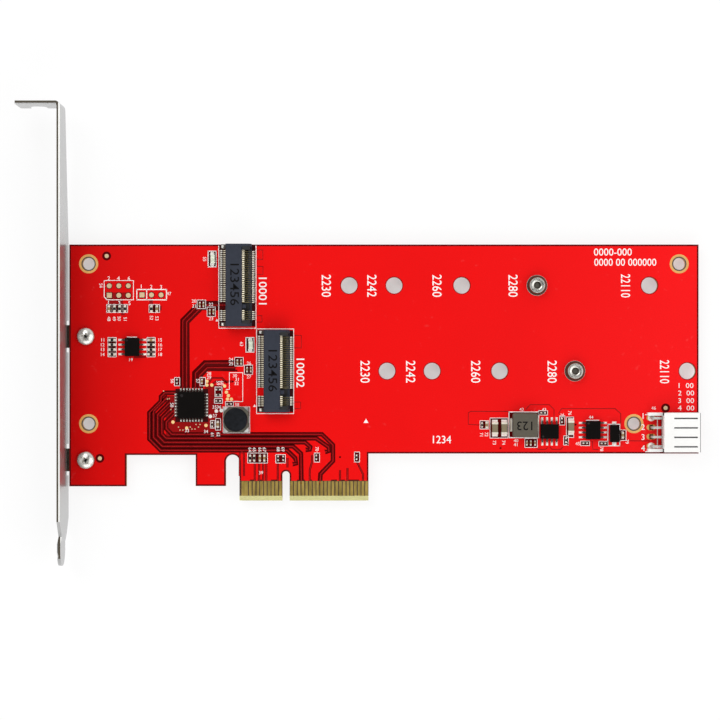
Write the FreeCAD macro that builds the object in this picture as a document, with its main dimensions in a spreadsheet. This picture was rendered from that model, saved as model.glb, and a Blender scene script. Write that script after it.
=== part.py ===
import FreeCAD, Part
import os
import re
import Sketcher
from FreeCAD import Vector

# Adapter card that carries two flash memory modules behind one x4 edge connector.
# It lies flat with the component side up, as it is seen from above.
# Origin: the centre of the edge key notch, on the line of the finger tips, on the component face.
# +X runs along the card away from the bracket, +Y towards the top edge, +Z out of the component face.

SIZES = {
    # Board outline
    "board_thickness": 1.57,
    "board_left": -57.73,
    "board_right": 109.92,
    "board_top": 68.24,
    "board_bottom": 12.55,
    "foot_width": 15.2,
    "foot_bottom": 3.81,
    "notch_top": 12.15,
    "tab_width": 8.02,
    "tab_bottom": 3.9,
    "lock_slot_width": 3.65,
    "lock_slot_top": 12.23,
    # Edge connector
    "finger_pitch": 1.0,
    "finger_width": 0.7,
    "finger_low": 1.3,
    "finger_high": 5.17,
    "short_finger_low": 2.2,
    "finger_thickness": 0.04,
    "key_half_gap": 1.5,
    "key_width": 1.95,
    "key_top": 7.83,
    "finger_margin_left": 0.89,
    "finger_margin_right": 0.48,
    "edge_corner_cut": 0.7,
    "bevel_length": 1.3,
    "bevel_depth": 0.47,
    # Holes of the board
    "mounting_hole": 3.3,
    "mounting_inset": 5.15,
    "mounting_far_inset": 17.22,
    "mounting_low_y": 20.5,
    "standoff_hole": 4.35,
    # Bracket
    "bracket_gap": 0.66,
    "bracket_thickness": 0.86,
    "bracket_width": 18.42,
    "bracket_top": 105.0,
    "bracket_bend": 1.3,
    "tab_reach": 10.9,
    "tab_depth": 11.2,
    "taper_start": 68.0,
    "tab_notch_width": 4.42,
    "tab_notch_depth": 4.6,
    "tab_notch_offset": 5.9,
    "shoulder_high": -4.7,
    "shoulder_low": -8.85,
    "tongue_width": 10.19,
    "tongue_tip": -16.8,
    "tongue_side_margin": 4.12,
    "tongue_jog": 0.4,
    "tongue_jog_length": 2.0,
    "tongue_round": 4.4,
    # Ears of the bracket and their screws
    "ear_width": 6.1,
    "ear_reach": 9.25,
    "ear_corner": 1.2,
    "ear_bend": 1.1,
    "ear_margin": 1.39,
    "ear_relief_width": 1.2,
    "ear_relief_depth": 1.6,
    "ear_low_y": 10.8,
    "ear_spacing": 32.95,
    "screw_inset": 3.3,
    "screw_diameter": 2.4,
    "screw_clearance": 0.25,
    "thread_clearance": 0.05,
    "screw_tip": 0.7,
    "head_diameter": 4.75,
    "head_height": 1.6,
    # Module sockets and standoffs
    "row_a_x": -13.16,
    "row_a_y": 57.34,
    "row_b_x": -3.06,
    "row_b_y": 34.53,
    "contact_pitch": 0.5,
    "contact_width": 0.2,
    "contact_thickness": 0.15,
    "tongue_margin": 1.35,
    "side_clearance": 0.15,
    "socket_arm": 0.87,
    "socket_rear": 2.75,
    "socket_roof_front": 1.65,
    "socket_lip_front": 4.1,
    "socket_height": 4.2,
    "socket_roof": 0.75,
    "rear_wall": 1.45,
    "stop_wall": 0.75,
    "stop_clearance": 0.15,
    "module_underside": 2.45,
    "stop_height": 3.05,
    "ramp_clearance": 0.05,
    "crest_clearance": 0.05,
    "tail_clearance": 0.05,
    "rib_width": 1.0,
    "rib_front": 2.6,
    "arm_nose": 1.1,
    "tail_reach": 1.68,
    "foot_reach": 0.85,
    "crest_reach": 0.7,
    "anchor_width": 1.1,
    "anchor_reach": 1.45,
    "anchor_height": 1.5,
    "standoff_diameter": 5.5,
    "standoff_thread": 1.6,
    "press_clearance": 0.05,
    # Power header
    "header_setback": 0.28,
    "header_depth": 9.6,
    "header_edge_gap": 0.55,
    "header_pitch": 2.5,
    "header_margin": 1.45,
    "header_height": 6.0,
    "header_wall": 0.8,
    "header_arm": 3.9,
    "header_arm_height": 3.0,
    "roof_slot_width": 0.4,
    "roof_slot_length": 6.4,
    "roof_slot_inset": 0.5,
    "pin_width": 0.64,
    "pin_height": 3.0,
    "pin_clearance": 0.03,
    "pin_tail": 1.4,
    "pin_back": 2.74,
    "pin_setback": 1.5,
    # Chips with gull-wing leads
    "lead_thickness": 0.13,
    "chip_standoff": 0.1,
    "body_draft": 8.0,
    "controller_side": 7.0,
    "controller_height": 1.4,
    "controller_pitch": 0.8,
    "controller_lead": 0.35,
    "controller_foot": 0.6,
    "controller_span": 9.06,
    "small_chip_width": 3.9,
    "small_chip_length": 4.9,
    "small_chip_height": 1.5,
    "small_chip_pitch": 1.27,
    "small_chip_lead": 0.42,
    "small_chip_foot": 0.65,
    "small_chip_span": 6.1,
    # Inductors, diode and lamps
    "coil_block_length": 6.6,
    "coil_block_width": 6.4,
    "coil_block_height": 3.0,
    "coil_block_corner": 0.7,
    "clip_thickness": 0.15,
    "clip_width": 3.2,
    "clip_foot": 1.3,
    "clip_height": 1.1,
    "drum_side": 6.8,
    "drum_corner": 1.5,
    "drum_base_height": 1.0,
    "drum_diameter": 5.9,
    "drum_height": 2.9,
    "drum_pad": 1.8,
    "diode_length": 4.6,
    "diode_width": 2.6,
    "diode_height": 2.1,
    "diode_clip_width": 1.5,
    "diode_clip_height": 1.0,
    "diode_foot": 1.1,
    # Two-ended chip parts in three sizes, and the lamps
    "tiny_length": 1.0,
    "tiny_width": 0.5,
    "tiny_height": 0.5,
    "small_length": 1.6,
    "small_width": 0.8,
    "small_height": 0.75,
    "large_length": 3.2,
    "large_width": 1.6,
    "large_height": 1.5,
    "lamp_length": 3.2,
    "lamp_width": 1.6,
    "lamp_height": 1.2,
}

# Contact positions of a module socket, counted from its lower end, and the keyed ones
SOCKET_POSITIONS = 75
KEY_FIRST = 12
KEY_LAST = 19

# Leads on each side of the chips
CONTROLLER_LEADS = 8
SMALL_CHIP_LEADS = 4

# Edge fingers before and after the key notch
SHORT_FINGERS = 11
LONG_FINGERS = 21

# Module lengths that a row takes; the standoff sits in the fourth
MODULE_LENGTHS = (30, 42, 60, 110)
STANDOFF_LENGTH = 80

# Centres of the plated mounting holes
MOUNTING_HOLES = (
    ("board_left + mounting_inset", "board_top - mounting_inset"),
    ("board_left + mounting_inset", "mounting_low_y"),
    ("board_right - mounting_inset", "board_top - mounting_inset"),
    ("board_right - mounting_far_inset", "mounting_low_y"),
)

# Centres of the larger parts of the component face, with their turn in degrees
CONTROLLER_PLACE = (-25.21, 25.5, 0)
SMALL_CHIP_PLACES = ((-40.93, 40.93, 0), (70.19, 18.44, 90), (81.78, 18.81, 0))
COIL_BLOCK_PLACE = (63.6, 20.17, 0)
DRUM_PLACE = (-13.27, 21.61, 0)
DIODE_PLACE = (87.46, 17.9, 90)

# Where the two-ended parts lie: along "Y" they stand upright in the view, along "X" they lie across it
CAPACITORS = (
    ("small", "Y", ((-47.14, 51.11), (-34.37, 51.11))),
    ("small", "X", ((-35.92, 42.80),)),
    ("tiny", "Y", ((-22.95, 52.26), (-21.97, 52.26), (-20.29, 50.36), (-19.31, 50.36))),
    ("tiny", "Y", ((-12.93, 36.96), (-11.95, 36.96), (-10.35, 34.91), (-9.37, 34.91))),
    ("tiny", "Y", ((-22.38, 31.76), (-6.95, 11.9), (-5.76, 11.9))),
    ("small", "Y", ((-18.15, 20.33), (53.48, 20.17), (89.67, 17.48))),
    ("tiny", "Y", ((64.19, 15.38), (65.21, 15.38), (66.35, 15.38))),
)
RESISTORS = (
    ("small", "Y", ((-45.67, 51.11), (-44.29, 51.11), (-42.87, 51.11), (-35.84, 51.11))),
    ("small", "X", ((-46.31, 42.80), (-46.31, 41.57), (-46.31, 40.26), (-46.31, 38.99))),
    ("small", "X", ((-35.92, 41.57), (-35.92, 40.26), (-35.92, 38.99))),
    ("tiny", "Y", ((-29.07, 31.76), (-19.64, 20.28), (-9.57, 11.9), (-8.47, 11.9))),
    ("tiny", "X", ((-18.07, 29.58), (-18.07, 28.17), (-18.07, 26.57), (-15.16, 25.74))),
    ("tiny", "Y", ((-2.11, 11.3), (-0.75, 11.3), (8.07, 11.56), (18.81, 11.56))),
    ("tiny", "Y", ((52.23, 20.17), (73.49, 21.4), (74.6, 16.1))),
    ("tiny", "X", ((68.51, 23.4), (79.73, 15.32), (84.58, 15.27))),
)
LARGE_CAPACITORS = (("large", "Y", ((55.64, 19.32), (58.12, 19.35), (75.9, 19.72))),)
LAMPS = (("lamp", "Y", ((-19.61, 64.30), (-9.51, 41.49))),)

doc = FreeCAD.newDocument("adapter_card")
sheet = doc.addObject("Spreadsheet::Sheet", "Sizes")
for row, (alias, number) in enumerate(SIZES.items(), start=1):
    sheet.set(f"A{row}", alias.replace("_", " "))
    sheet.set(f"B{row}", str(number))
    sheet.setAlias(f"B{row}", alias)
doc.recompute()

sub_parts = []


# Links to the sheet

def linked(formula):
    """The formula with every size in it pointing at its cell of the sheet."""
    return re.sub(r"[a-z]\w*", lambda word: f"Sizes.{word.group()}", str(formula))


def value(formula):
    """The formula's value at the present sizes, in millimetres."""
    return float(sheet.evalExpression(linked(formula)))


def bind(item, prop, formula):
    """Bind a property to a formula on the sheet."""
    item.setExpression(prop, linked(formula))


def sub_part(kind, label, place=None):
    """New object that is one sub-part of the card, at a place of formulas or numbers."""
    item = doc.addObject(kind, label)
    item.Label = label
    put(item, place)
    sub_parts.append(item)
    return item


def piece(kind, label, place=None):
    """New object that one of the grouped sub-parts takes in."""
    item = doc.addObject(kind, label)
    put(item, place)
    return item


def put(item, place):
    """Place an object at X and Y, turned about Z."""
    if place is None:
        return
    x, y, turn = place
    item.Placement = FreeCAD.Placement(Vector(0, 0, 0), FreeCAD.Rotation(Vector(0, 0, 1), turn))
    bind(item, "Placement.Base.x", x)
    bind(item, "Placement.Base.y", y)


def group(label, members):
    """Sub-part that holds several separate solids."""
    item = sub_part("Part::Compound", label)
    item.Links = members
    return item


# Sketches and the features made from them

def origin_feature(body, role):
    return next(item for item in body.Origin.OriginFeatures if item.Role == role)


def sketch(body, name, plane, shift=0):
    """Empty sketch on an origin plane of its body, shifted along the plane's normal."""
    profile = body.newObject("Sketcher::SketchObject", name)
    profile.AttachmentSupport = (origin_feature(body, plane), [""])
    profile.MapMode = "FlatFace"
    bind(profile, "AttachmentOffset.Base.z", shift)
    return profile


def fix_point(profile, edge, point, x, y):
    """Hold one point of a sketch at its distances from the sketch's origin."""
    for direction, formula in (("DistanceX", x), ("DistanceY", y)):
        held = Sketcher.Constraint(direction, -1, 1, edge, point, value(formula))
        number = profile.addConstraint(held)
        bind(profile, f"Constraints[{number}]", formula)


def add_polygon(profile, corners):
    """Closed outline through corners that are pairs of formulas."""
    points = [Vector(value(x), value(y), 0) for x, y in corners]
    first = profile.GeometryCount
    count = len(points)
    for index in range(count):
        profile.addGeometry(Part.LineSegment(points[index], points[(index + 1) % count]), False)
    for index in range(count):
        following = first + (index + 1) % count
        profile.addConstraint(Sketcher.Constraint("Coincident", first + index, 2, following, 1))
    for index, (x, y) in enumerate(corners):
        fix_point(profile, first + index, 1, x, y)


def add_rectangle(profile, x_low, x_high, y_low, y_high):
    add_polygon(profile, ((x_low, y_low), (x_high, y_low), (x_high, y_high), (x_low, y_high)))


def add_square(profile, x, y, half):
    add_rectangle(profile, f"{x} - {half}", f"{x} + {half}", f"{y} - {half}", f"{y} + {half}")


def add_centred(profile, length, width):
    """Rectangle about the origin."""
    add_rectangle(profile, f"0 - {length} / 2", f"{length} / 2", f"0 - {width} / 2", f"{width} / 2")


def add_cut_corners(profile, length, width, corner):
    """Rectangle about the origin with its four corners cut at 45 degrees."""
    points = []
    for x_sign, y_sign, x_first in ((1, 1, False), (-1, 1, True), (-1, -1, False), (1, -1, True)):
        long_way = (f"{x_sign} * {length} / 2", f"{y_sign} * ({width} / 2 - {corner})")
        short_way = (f"{x_sign} * ({length} / 2 - {corner})", f"{y_sign} * {width} / 2")
        points += [short_way, long_way] if x_first else [long_way, short_way]
    add_polygon(profile, points)


def add_circle(profile, x, y, diameter):
    centre = Vector(value(x), value(y), 0)
    edge = profile.addGeometry(Part.Circle(centre, Vector(0, 0, 1), value(diameter) / 2), False)
    fix_point(profile, edge, 3, x, y)
    number = profile.addConstraint(Sketcher.Constraint("Diameter", edge, value(diameter)))
    bind(profile, f"Constraints[{number}]", diameter)


def pad(body, name, profile, length, both_ways=False, backwards=False, draft=None):
    feature = body.newObject("PartDesign::Pad", name)
    feature.Profile = profile
    feature.Midplane = both_ways
    feature.Reversed = backwards
    bind(feature, "Length", length)
    if draft is not None:
        bind(feature, "TaperAngle", draft)
    return feature


def pocket(body, name, profile, depth=None, both_ways=False):
    """Cut against the sketch's normal to a depth, or right through both ways without one."""
    feature = body.newObject("PartDesign::Pocket", name)
    feature.Profile = profile
    if depth is None:
        feature.Type = "ThroughAll"
        feature.Midplane = True
    else:
        feature.Midplane = both_ways
        bind(feature, "Length", depth)
    return feature


def repeat(body, name, features, axis, pitch, count):
    """Row of a feature along an axis of the body."""
    pattern = body.newObject("PartDesign::LinearPattern", name)
    pattern.Originals = features
    pattern.Direction = (origin_feature(body, axis), [""])
    bind(pattern, "Length", f"{count - 1} * {pitch}")
    pattern.Occurrences = count
    body.Tip = pattern
    return pattern


def edges_along(feature, axis, places):
    """Names of a feature's straight edges along an axis that pass through one of the places."""
    names = []
    for number, edge in enumerate(feature.Shape.Edges, start=1):
        if edge.Curve.TypeId != "Part::GeomLine":
            continue
        if abs(edge.Curve.Direction.dot(axis)) < 0.999:
            continue
        start = edge.Vertexes[0].Point
        for place in places:
            offset = start - Vector(*place)
            across = offset - axis * offset.dot(axis)
            if across.Length < 0.01:
                names.append(f"Edge{number}")
                break
    return names


def fillet(body, name, base, axis, places, radius):
    """Round the edges along an axis that pass through the places."""
    doc.recompute()
    feature = body.newObject("PartDesign::Fillet", name)
    feature.Base = (base, edges_along(base, axis, places))
    bind(feature, "Radius", radius)
    return feature


ALONG_X = Vector(1, 0, 0)
ALONG_Y = Vector(0, 1, 0)
ALONG_Z = Vector(0, 0, 1)

# Places that follow from the sizes

FINGER_LEFT = f"(0 - key_half_gap - {SHORT_FINGERS - 1} * finger_pitch - finger_margin_left)"
FINGER_RIGHT = f"(key_half_gap + {LONG_FINGERS - 1} * finger_pitch + finger_margin_right)"
LOCK_SLOT_LEFT = f"({FINGER_LEFT} - lock_slot_width)"
TAB_LEFT = f"({LOCK_SLOT_LEFT} - tab_width)"
BRACKET_INNER = "(board_left - bracket_gap)"
BRACKET_OUTER = f"({BRACKET_INNER} - bracket_thickness)"
EAR_TOP = "(0 - board_thickness)"
EAR_UNDER = f"({EAR_TOP} - bracket_thickness)"
BRACKET_FAR = f"({EAR_UNDER} - ear_margin)"
BRACKET_NEAR = f"({BRACKET_FAR} + bracket_width)"
TONGUE_NEAR = f"({BRACKET_NEAR} - tongue_side_margin)"
TONGUE_FAR = f"({TONGUE_NEAR} - tongue_width)"
TAB_FAR = f"({BRACKET_NEAR} - tab_depth)"
TAB_END = f"({BRACKET_OUTER} - tab_reach)"
EAR_END = f"({BRACKET_OUTER} + ear_reach)"
EAR_CENTRES = ("ear_low_y", "(ear_low_y + ear_spacing)")
SCREW_X = f"({EAR_END} - screw_inset)"
HEADER_FRONT = "(board_right - header_setback)"
HEADER_BACK = f"({HEADER_FRONT} - header_depth)"
HEADER_HALF = "(1.5 * header_pitch + header_margin)"
HEADER_Y = f"(board_bottom + header_edge_gap + {HEADER_HALF})"
HEADER_PINS = [f"({HEADER_Y} + {step} * header_pitch)" for step in (1.5, 0.5, -0.5, -1.5)]
PIN_X = f"({HEADER_BACK} - pin_back)"
BEYOND = 5


def build_board():
    """Laminate with the stepped lower edge, the key notch, the lock slot and all holes."""
    body = sub_part("PartDesign::Body", "circuit_board")
    outline = sketch(body, "BoardOutline", "XY_Plane", "0 - board_thickness")
    foot_right = "(board_left + foot_width)"
    add_polygon(outline, (
        ("board_left", "board_top"),
        ("board_left", "foot_bottom"),
        (foot_right, "foot_bottom"),
        (foot_right, "notch_top"),
        (TAB_LEFT, "notch_top"),
        (TAB_LEFT, "tab_bottom"),
        (FINGER_LEFT, "tab_bottom"),
        (FINGER_LEFT, "edge_corner_cut"),
        (f"{FINGER_LEFT} + edge_corner_cut", 0),
        (f"{FINGER_RIGHT} - edge_corner_cut", 0),
        (FINGER_RIGHT, "edge_corner_cut"),
        (FINGER_RIGHT, "board_bottom"),
        ("board_right", "board_bottom"),
        ("board_right", "board_top"),
    ))
    pad(body, "Slab", outline, "board_thickness")

    slots = (
        ("LockSlot", f"({LOCK_SLOT_LEFT} + lock_slot_width / 2)", "lock_slot_width", "lock_slot_top"),
        ("KeyNotch", "0", "key_width", "key_top"),
    )
    for name, middle, width, top in slots:
        half = f"{width} / 2"
        straight = sketch(body, name + "Sides", "XY_Plane")
        add_rectangle(straight, f"{middle} - {half}", f"{middle} + {half}", -BEYOND, f"{top} - {half}")
        pocket(body, name, straight)
        crown = sketch(body, name + "Crown", "XY_Plane")
        add_circle(crown, middle, f"{top} - {half}", width)
        pocket(body, name + "End", crown)

    holes = sketch(body, "HolePlaces", "XY_Plane")
    for x, y in MOUNTING_HOLES:
        add_circle(holes, x, y, "mounting_hole")
    for row in ("a", "b"):
        for length in MODULE_LENGTHS + (STANDOFF_LENGTH,):
            add_circle(holes, f"row_{row}_x + {length}", f"row_{row}_y", "standoff_hole")
    for ear in EAR_CENTRES:
        add_circle(holes, SCREW_X, ear, "screw_diameter + 2 * screw_clearance")
    pocket(body, "Holes", holes)
    barrels = sketch(body, "SolderedBarrels", "XY_Plane")
    for pin_y in HEADER_PINS:
        add_square(barrels, PIN_X, pin_y, "(pin_width / 2 + pin_clearance)")
    pocket(body, "Barrels", barrels)

    tips = sketch(body, "TipBevels", "YZ_Plane")
    faces = (("0", "0 - bevel_depth"), ("0 - board_thickness", "bevel_depth - board_thickness"))
    for face, inner in faces:
        add_polygon(tips, ((0, face), ("bevel_length", face), (0, inner)))
    pocket(body, "Bevels", tips)


def build_fingers():
    """Gold contact strips on both faces of the edge; two strips are one wide pad in front."""
    faces = (
        ("edge_fingers_front", "0", "finger_low", 2),
        ("edge_fingers_back", "0 - board_thickness - finger_thickness", "short_finger_low", 1),
    )
    for label, level, first_low, joined in faces:
        body = sub_part("PartDesign::Body", label)
        outer = f"(0 - key_half_gap - {SHORT_FINGERS - 1} * finger_pitch)"
        half = "finger_width / 2"
        first = sketch(body, "OuterStrip", "XY_Plane", level)
        right = f"{outer} + {joined - 1} * finger_pitch + {half}"
        add_rectangle(first, f"{outer} - {half}", right, first_low, "finger_high")
        pad(body, "Outer", first, "finger_thickness")
        rows = (
            ("Left", f"({outer} + {joined} * finger_pitch)", SHORT_FINGERS - joined),
            ("Right", "key_half_gap", LONG_FINGERS),
        )
        for name, start, count in rows:
            strip = sketch(body, name + "Strip", "XY_Plane", level)
            add_rectangle(strip, f"{start} - {half}", f"{start} + {half}", "finger_low", "finger_high")
            feature = pad(body, name, strip, "finger_thickness")
            repeat(body, name + "Row", [feature], "X_Axis", "finger_pitch", count)


def build_bracket():
    """Folded steel bracket: face, top tab with its notch, tapered side, tongue and two ears."""
    body = sub_part("PartDesign::Body", "bracket")
    jog_high = "shoulder_low"
    jog_low = "(shoulder_low - tongue_jog_length)"
    section = sketch(body, "FoldedSection", "XY_Plane", BRACKET_FAR)
    add_polygon(section, (
        (f"{BRACKET_OUTER} - tongue_jog", "tongue_tip"),
        (f"{BRACKET_OUTER} - tongue_jog", jog_low),
        (BRACKET_OUTER, jog_high),
        (BRACKET_OUTER, "bracket_top - bracket_thickness"),
        (TAB_END, "bracket_top - bracket_thickness"),
        (TAB_END, "bracket_top"),
        (BRACKET_INNER, "bracket_top"),
        (BRACKET_INNER, jog_high),
        (f"{BRACKET_INNER} - tongue_jog", jog_low),
        (f"{BRACKET_INNER} - tongue_jog", "tongue_tip"),
    ))
    sheet_metal = pad(body, "FoldedSheet", section, "bracket_width")
    outside = [(value(BRACKET_INNER), value("bracket_top"), 0)]
    inside = [(value(BRACKET_OUTER), value("bracket_top - bracket_thickness"), 0)]
    bend = fillet(body, "TabBendOutside", sheet_metal, ALONG_Z, outside, "bracket_bend")
    fillet(body, "TabBendInside", bend, ALONG_Z, inside, "bracket_bend - bracket_thickness")

    sides = sketch(body, "SideCuts", "YZ_Plane")
    below = f"{BRACKET_FAR} - {BEYOND}"
    above = f"{BRACKET_NEAR} + {BEYOND}"
    add_polygon(sides, (
        ("taper_start", BRACKET_FAR),
        ("bracket_top", TAB_FAR),
        (f"bracket_top + {BEYOND}", TAB_FAR),
        (f"bracket_top + {BEYOND}", below),
        ("taper_start", below),
    ))
    shoulders = ((BRACKET_FAR, below, TONGUE_FAR), (BRACKET_NEAR, above, TONGUE_NEAR))
    for edge, limit, tongue_side in shoulders:
        add_polygon(sides, (
            ("shoulder_high", edge),
            ("shoulder_low", tongue_side),
            (f"tongue_tip - {BEYOND}", tongue_side),
            (f"tongue_tip - {BEYOND}", limit),
            ("shoulder_high", limit),
        ))
    trimmed = pocket(body, "SideTrim", sides)
    tips = [(0, value("tongue_tip"), value(side)) for side in (TONGUE_NEAR, TONGUE_FAR)]
    fillet(body, "TongueTip", trimmed, ALONG_X, tips, "tongue_round")

    notch = sketch(body, "TabNotch", "XZ_Plane")
    middle = f"({BRACKET_OUTER} - tab_notch_offset)"
    half = "tab_notch_width / 2"
    floor = f"({TAB_FAR} + tab_notch_depth - {half})"
    add_rectangle(notch, f"{middle} - {half}", f"{middle} + {half}", below, floor)
    pocket(body, "TabNotchSides", notch)
    crown = sketch(body, "TabNotchCrown", "XZ_Plane")
    add_circle(crown, middle, floor, "tab_notch_width")
    pocket(body, "TabNotchEnd", crown)

    windows = sketch(body, "EarWindows", "YZ_Plane")
    relief = f"({EAR_TOP} + ear_relief_depth)"
    for centre in EAR_CENTRES:
        inner = "ear_width / 2"
        outer = f"({inner} + ear_relief_width)"
        add_polygon(windows, (
            (f"{centre} - {outer}", below),
            (f"{centre} - {outer}", relief),
            (f"{centre} - {inner}", relief),
            (f"{centre} - {inner}", EAR_UNDER),
            (f"{centre} + {inner}", EAR_UNDER),
            (f"{centre} + {inner}", relief),
            (f"{centre} + {outer}", relief),
            (f"{centre} + {outer}", below),
        ))
    pocket(body, "EarReliefs", windows)
    ears = sketch(body, "EarShapes", "XY_Plane", EAR_UNDER)
    for centre in EAR_CENTRES:
        add_polygon(ears, (
            (BRACKET_OUTER, f"{centre} - ear_width / 2"),
            (f"{EAR_END} - ear_corner", f"{centre} - ear_width / 2"),
            (EAR_END, f"{centre} - ear_width / 2 + ear_corner"),
            (EAR_END, f"{centre} + ear_width / 2 - ear_corner"),
            (f"{EAR_END} - ear_corner", f"{centre} + ear_width / 2"),
            (BRACKET_OUTER, f"{centre} + ear_width / 2"),
        ))
    folded = pad(body, "Ears", ears, "bracket_thickness")
    under = [(value(BRACKET_OUTER), 0, value(EAR_UNDER))]
    fillet(body, "EarBends", folded, ALONG_Y, under, "ear_bend")
    taps = sketch(body, "EarTaps", "XY_Plane")
    for centre in EAR_CENTRES:
        add_circle(taps, SCREW_X, centre, "screw_diameter + 2 * thread_clearance")
    pocket(body, "TappedHoles", taps)


def turned(body, name, corners):
    """Turn a half section of radius and height formulas about the body's Z axis."""
    half_section = sketch(body, name + "Section", "XZ_Plane")
    add_polygon(half_section, corners)
    feature = body.newObject("PartDesign::Revolution", name)
    feature.Profile = half_section
    feature.ReferenceAxis = (half_section, ["V_Axis"])
    feature.Angle = 360
    return feature


def build_bracket_screws():
    """Pan head screws that hold the board on the ears."""
    screws = []
    for index, centre in enumerate(EAR_CENTRES, start=1):
        body = piece("PartDesign::Body", f"BracketScrew{index}", (SCREW_X, centre, 0))
        shank = "screw_diameter / 2"
        head = "head_diameter / 2"
        tip = f"({EAR_UNDER} - screw_tip)"
        turned(body, "Turned", (
            (0, tip),
            (shank, tip),
            (shank, 0),
            (head, 0),
            (head, "head_height"),
            (0, "head_height"),
        ))
        screws.append(body)
    group("bracket_screws", screws)


# Contact places of a module socket

CONTACT_SPAN = f"({SOCKET_POSITIONS - 1} * contact_pitch / 2)"
MODULE_SLOT = f"({CONTACT_SPAN} + tongue_margin + 2 * side_clearance)"
SOCKET_LENGTH = f"({MODULE_SLOT} + 2 * socket_arm)"
STOP_FACE = "(0 - stop_clearance)"
STOP_BACK = f"({STOP_FACE} - stop_wall)"
WALL_FRONT = "(rear_wall - socket_rear)"
ROOF_UNDER = "(socket_height - socket_roof)"
TAIL_GAP = "(contact_thickness + tail_clearance)"
CREST = "(module_underside - crest_clearance)"
RAMP_TOP = f"({CREST} - contact_thickness - ramp_clearance)"


def position(number):
    """Place along the socket of a contact position."""
    return f"({number - 1} * contact_pitch / 2 - {CONTACT_SPAN} / 2)"


def contact_rows(first):
    """Start and count of the two runs of contacts, one on each side of the key."""
    short = range(first, KEY_FIRST, 2)
    long = range(KEY_LAST + 3 - first, SOCKET_POSITIONS + 1, 2)
    return ((short[0], len(short)), (long[0], len(long)))


UPPER_ROWS = contact_rows(1)
LOWER_ROWS = contact_rows(2)


def build_socket_housing(row):
    """Moulded housing: roof and rear wall, stop wall and sloped lip, end arms and key rib."""
    place = (f"row_{row}_x", f"row_{row}_y", 0)
    body = sub_part("PartDesign::Body", f"module_socket_{row}_housing", place)
    lip = sketch(body, "LipSection", "XZ_Plane")
    add_polygon(lip, (
        (STOP_BACK, 0), ("socket_lip_front - ramp_clearance", 0), ("crest_reach", RAMP_TOP),
        (STOP_FACE, RAMP_TOP), (STOP_FACE, "stop_height"), (STOP_BACK, "stop_height"),
    ))
    pad(body, "Lip", lip, SOCKET_LENGTH, both_ways=True)
    cover = sketch(body, "CoverSection", "XZ_Plane")
    add_polygon(cover, (
        ("0 - socket_rear", TAIL_GAP), (WALL_FRONT, TAIL_GAP), (WALL_FRONT, ROOF_UNDER),
        ("socket_roof_front", ROOF_UNDER), ("socket_roof_front", "socket_height"),
        ("0 - socket_rear", "socket_height"),
    ))
    pad(body, "Cover", cover, SOCKET_LENGTH, both_ways=True)
    for side in ("-1", "1"):
        middle = f"{side} * ({SOCKET_LENGTH} - socket_arm) / 2"
        arm = sketch(body, "ArmSection" + ("Low" if side == "-1" else "High"), "XZ_Plane", middle)
        add_polygon(arm, (
            ("0 - socket_rear", 0), ("socket_lip_front", 0), ("socket_lip_front", "socket_height - arm_nose"),
            ("socket_lip_front - arm_nose", "socket_height"), ("0 - socket_rear", "socket_height"),
        ))
        pad(body, "Arm" + ("Low" if side == "-1" else "High"), arm, "socket_arm", both_ways=True)
    key_middle = position((KEY_FIRST + KEY_LAST) / 2)
    rib = sketch(body, "RibSection", "XZ_Plane", f"0 - {key_middle}")
    add_rectangle(rib, WALL_FRONT, "rib_front", TAIL_GAP, ROOF_UNDER)
    pad(body, "KeyRib", rib, "rib_width", both_ways=True)


def build_contact_comb(label, row, runs, corners):
    """Row of stamped contacts that share one section, in two runs beside the key."""
    body = sub_part("PartDesign::Body", label, (f"row_{row}_x", f"row_{row}_y", 0))
    for name, (first, count) in zip(("Short", "Long"), runs):
        section = sketch(body, f"{name}Section", "XZ_Plane", f"0 - {position(first)}")
        add_polygon(section, corners)
        contact = pad(body, f"{name}Contact", section, "contact_width", both_ways=True)
        repeat(body, f"{name}Run", [contact], "Y_Axis", "contact_pitch", count)


def build_socket_contacts(row):
    """Upper contacts run under the rear wall and up to the roof; lower ones rise to a thin tip."""
    riser = f"({STOP_BACK} - tail_clearance)"
    back = f"({riser} - contact_thickness)"
    tail = "(0 - socket_rear - tail_reach)"
    build_contact_comb(f"module_socket_{row}_upper_contacts", row, UPPER_ROWS, (
        (tail, 0), (riser, 0), (riser, ROOF_UNDER), (back, ROOF_UNDER),
        (back, "contact_thickness"), (tail, "contact_thickness"),
    ))
    foot = "(socket_lip_front + foot_reach)"
    build_contact_comb(f"module_socket_{row}_lower_contacts", row, LOWER_ROWS, (
        (foot, 0), (foot, "contact_thickness"), ("socket_lip_front + contact_thickness", "contact_thickness"),
        ("crest_reach", CREST), ("socket_lip_front", 0),
    ))


def build_socket_anchors(row):
    """Soldered tabs at the rear corners of a housing."""
    place = (f"row_{row}_x", f"row_{row}_y", 0)
    body = sub_part("PartDesign::Body", f"module_socket_{row}_anchor_tabs", place)
    back = "(0 - socket_rear)"
    leg = f"({back} - contact_thickness)"
    for name, sign in (("Low", "1"), ("High", "-1")):
        middle = f"{sign} * ({SOCKET_LENGTH} - anchor_width) / 2"
        section = sketch(body, f"{name}Section", "XZ_Plane", middle)
        add_polygon(section, (
            (f"{back} - anchor_reach", 0), (back, 0), (back, "anchor_height"), (leg, "anchor_height"),
            (leg, "contact_thickness"), (f"{back} - anchor_reach", "contact_thickness"),
        ))
        pad(body, f"{name}Tab", section, "anchor_width", both_ways=True)


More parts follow.
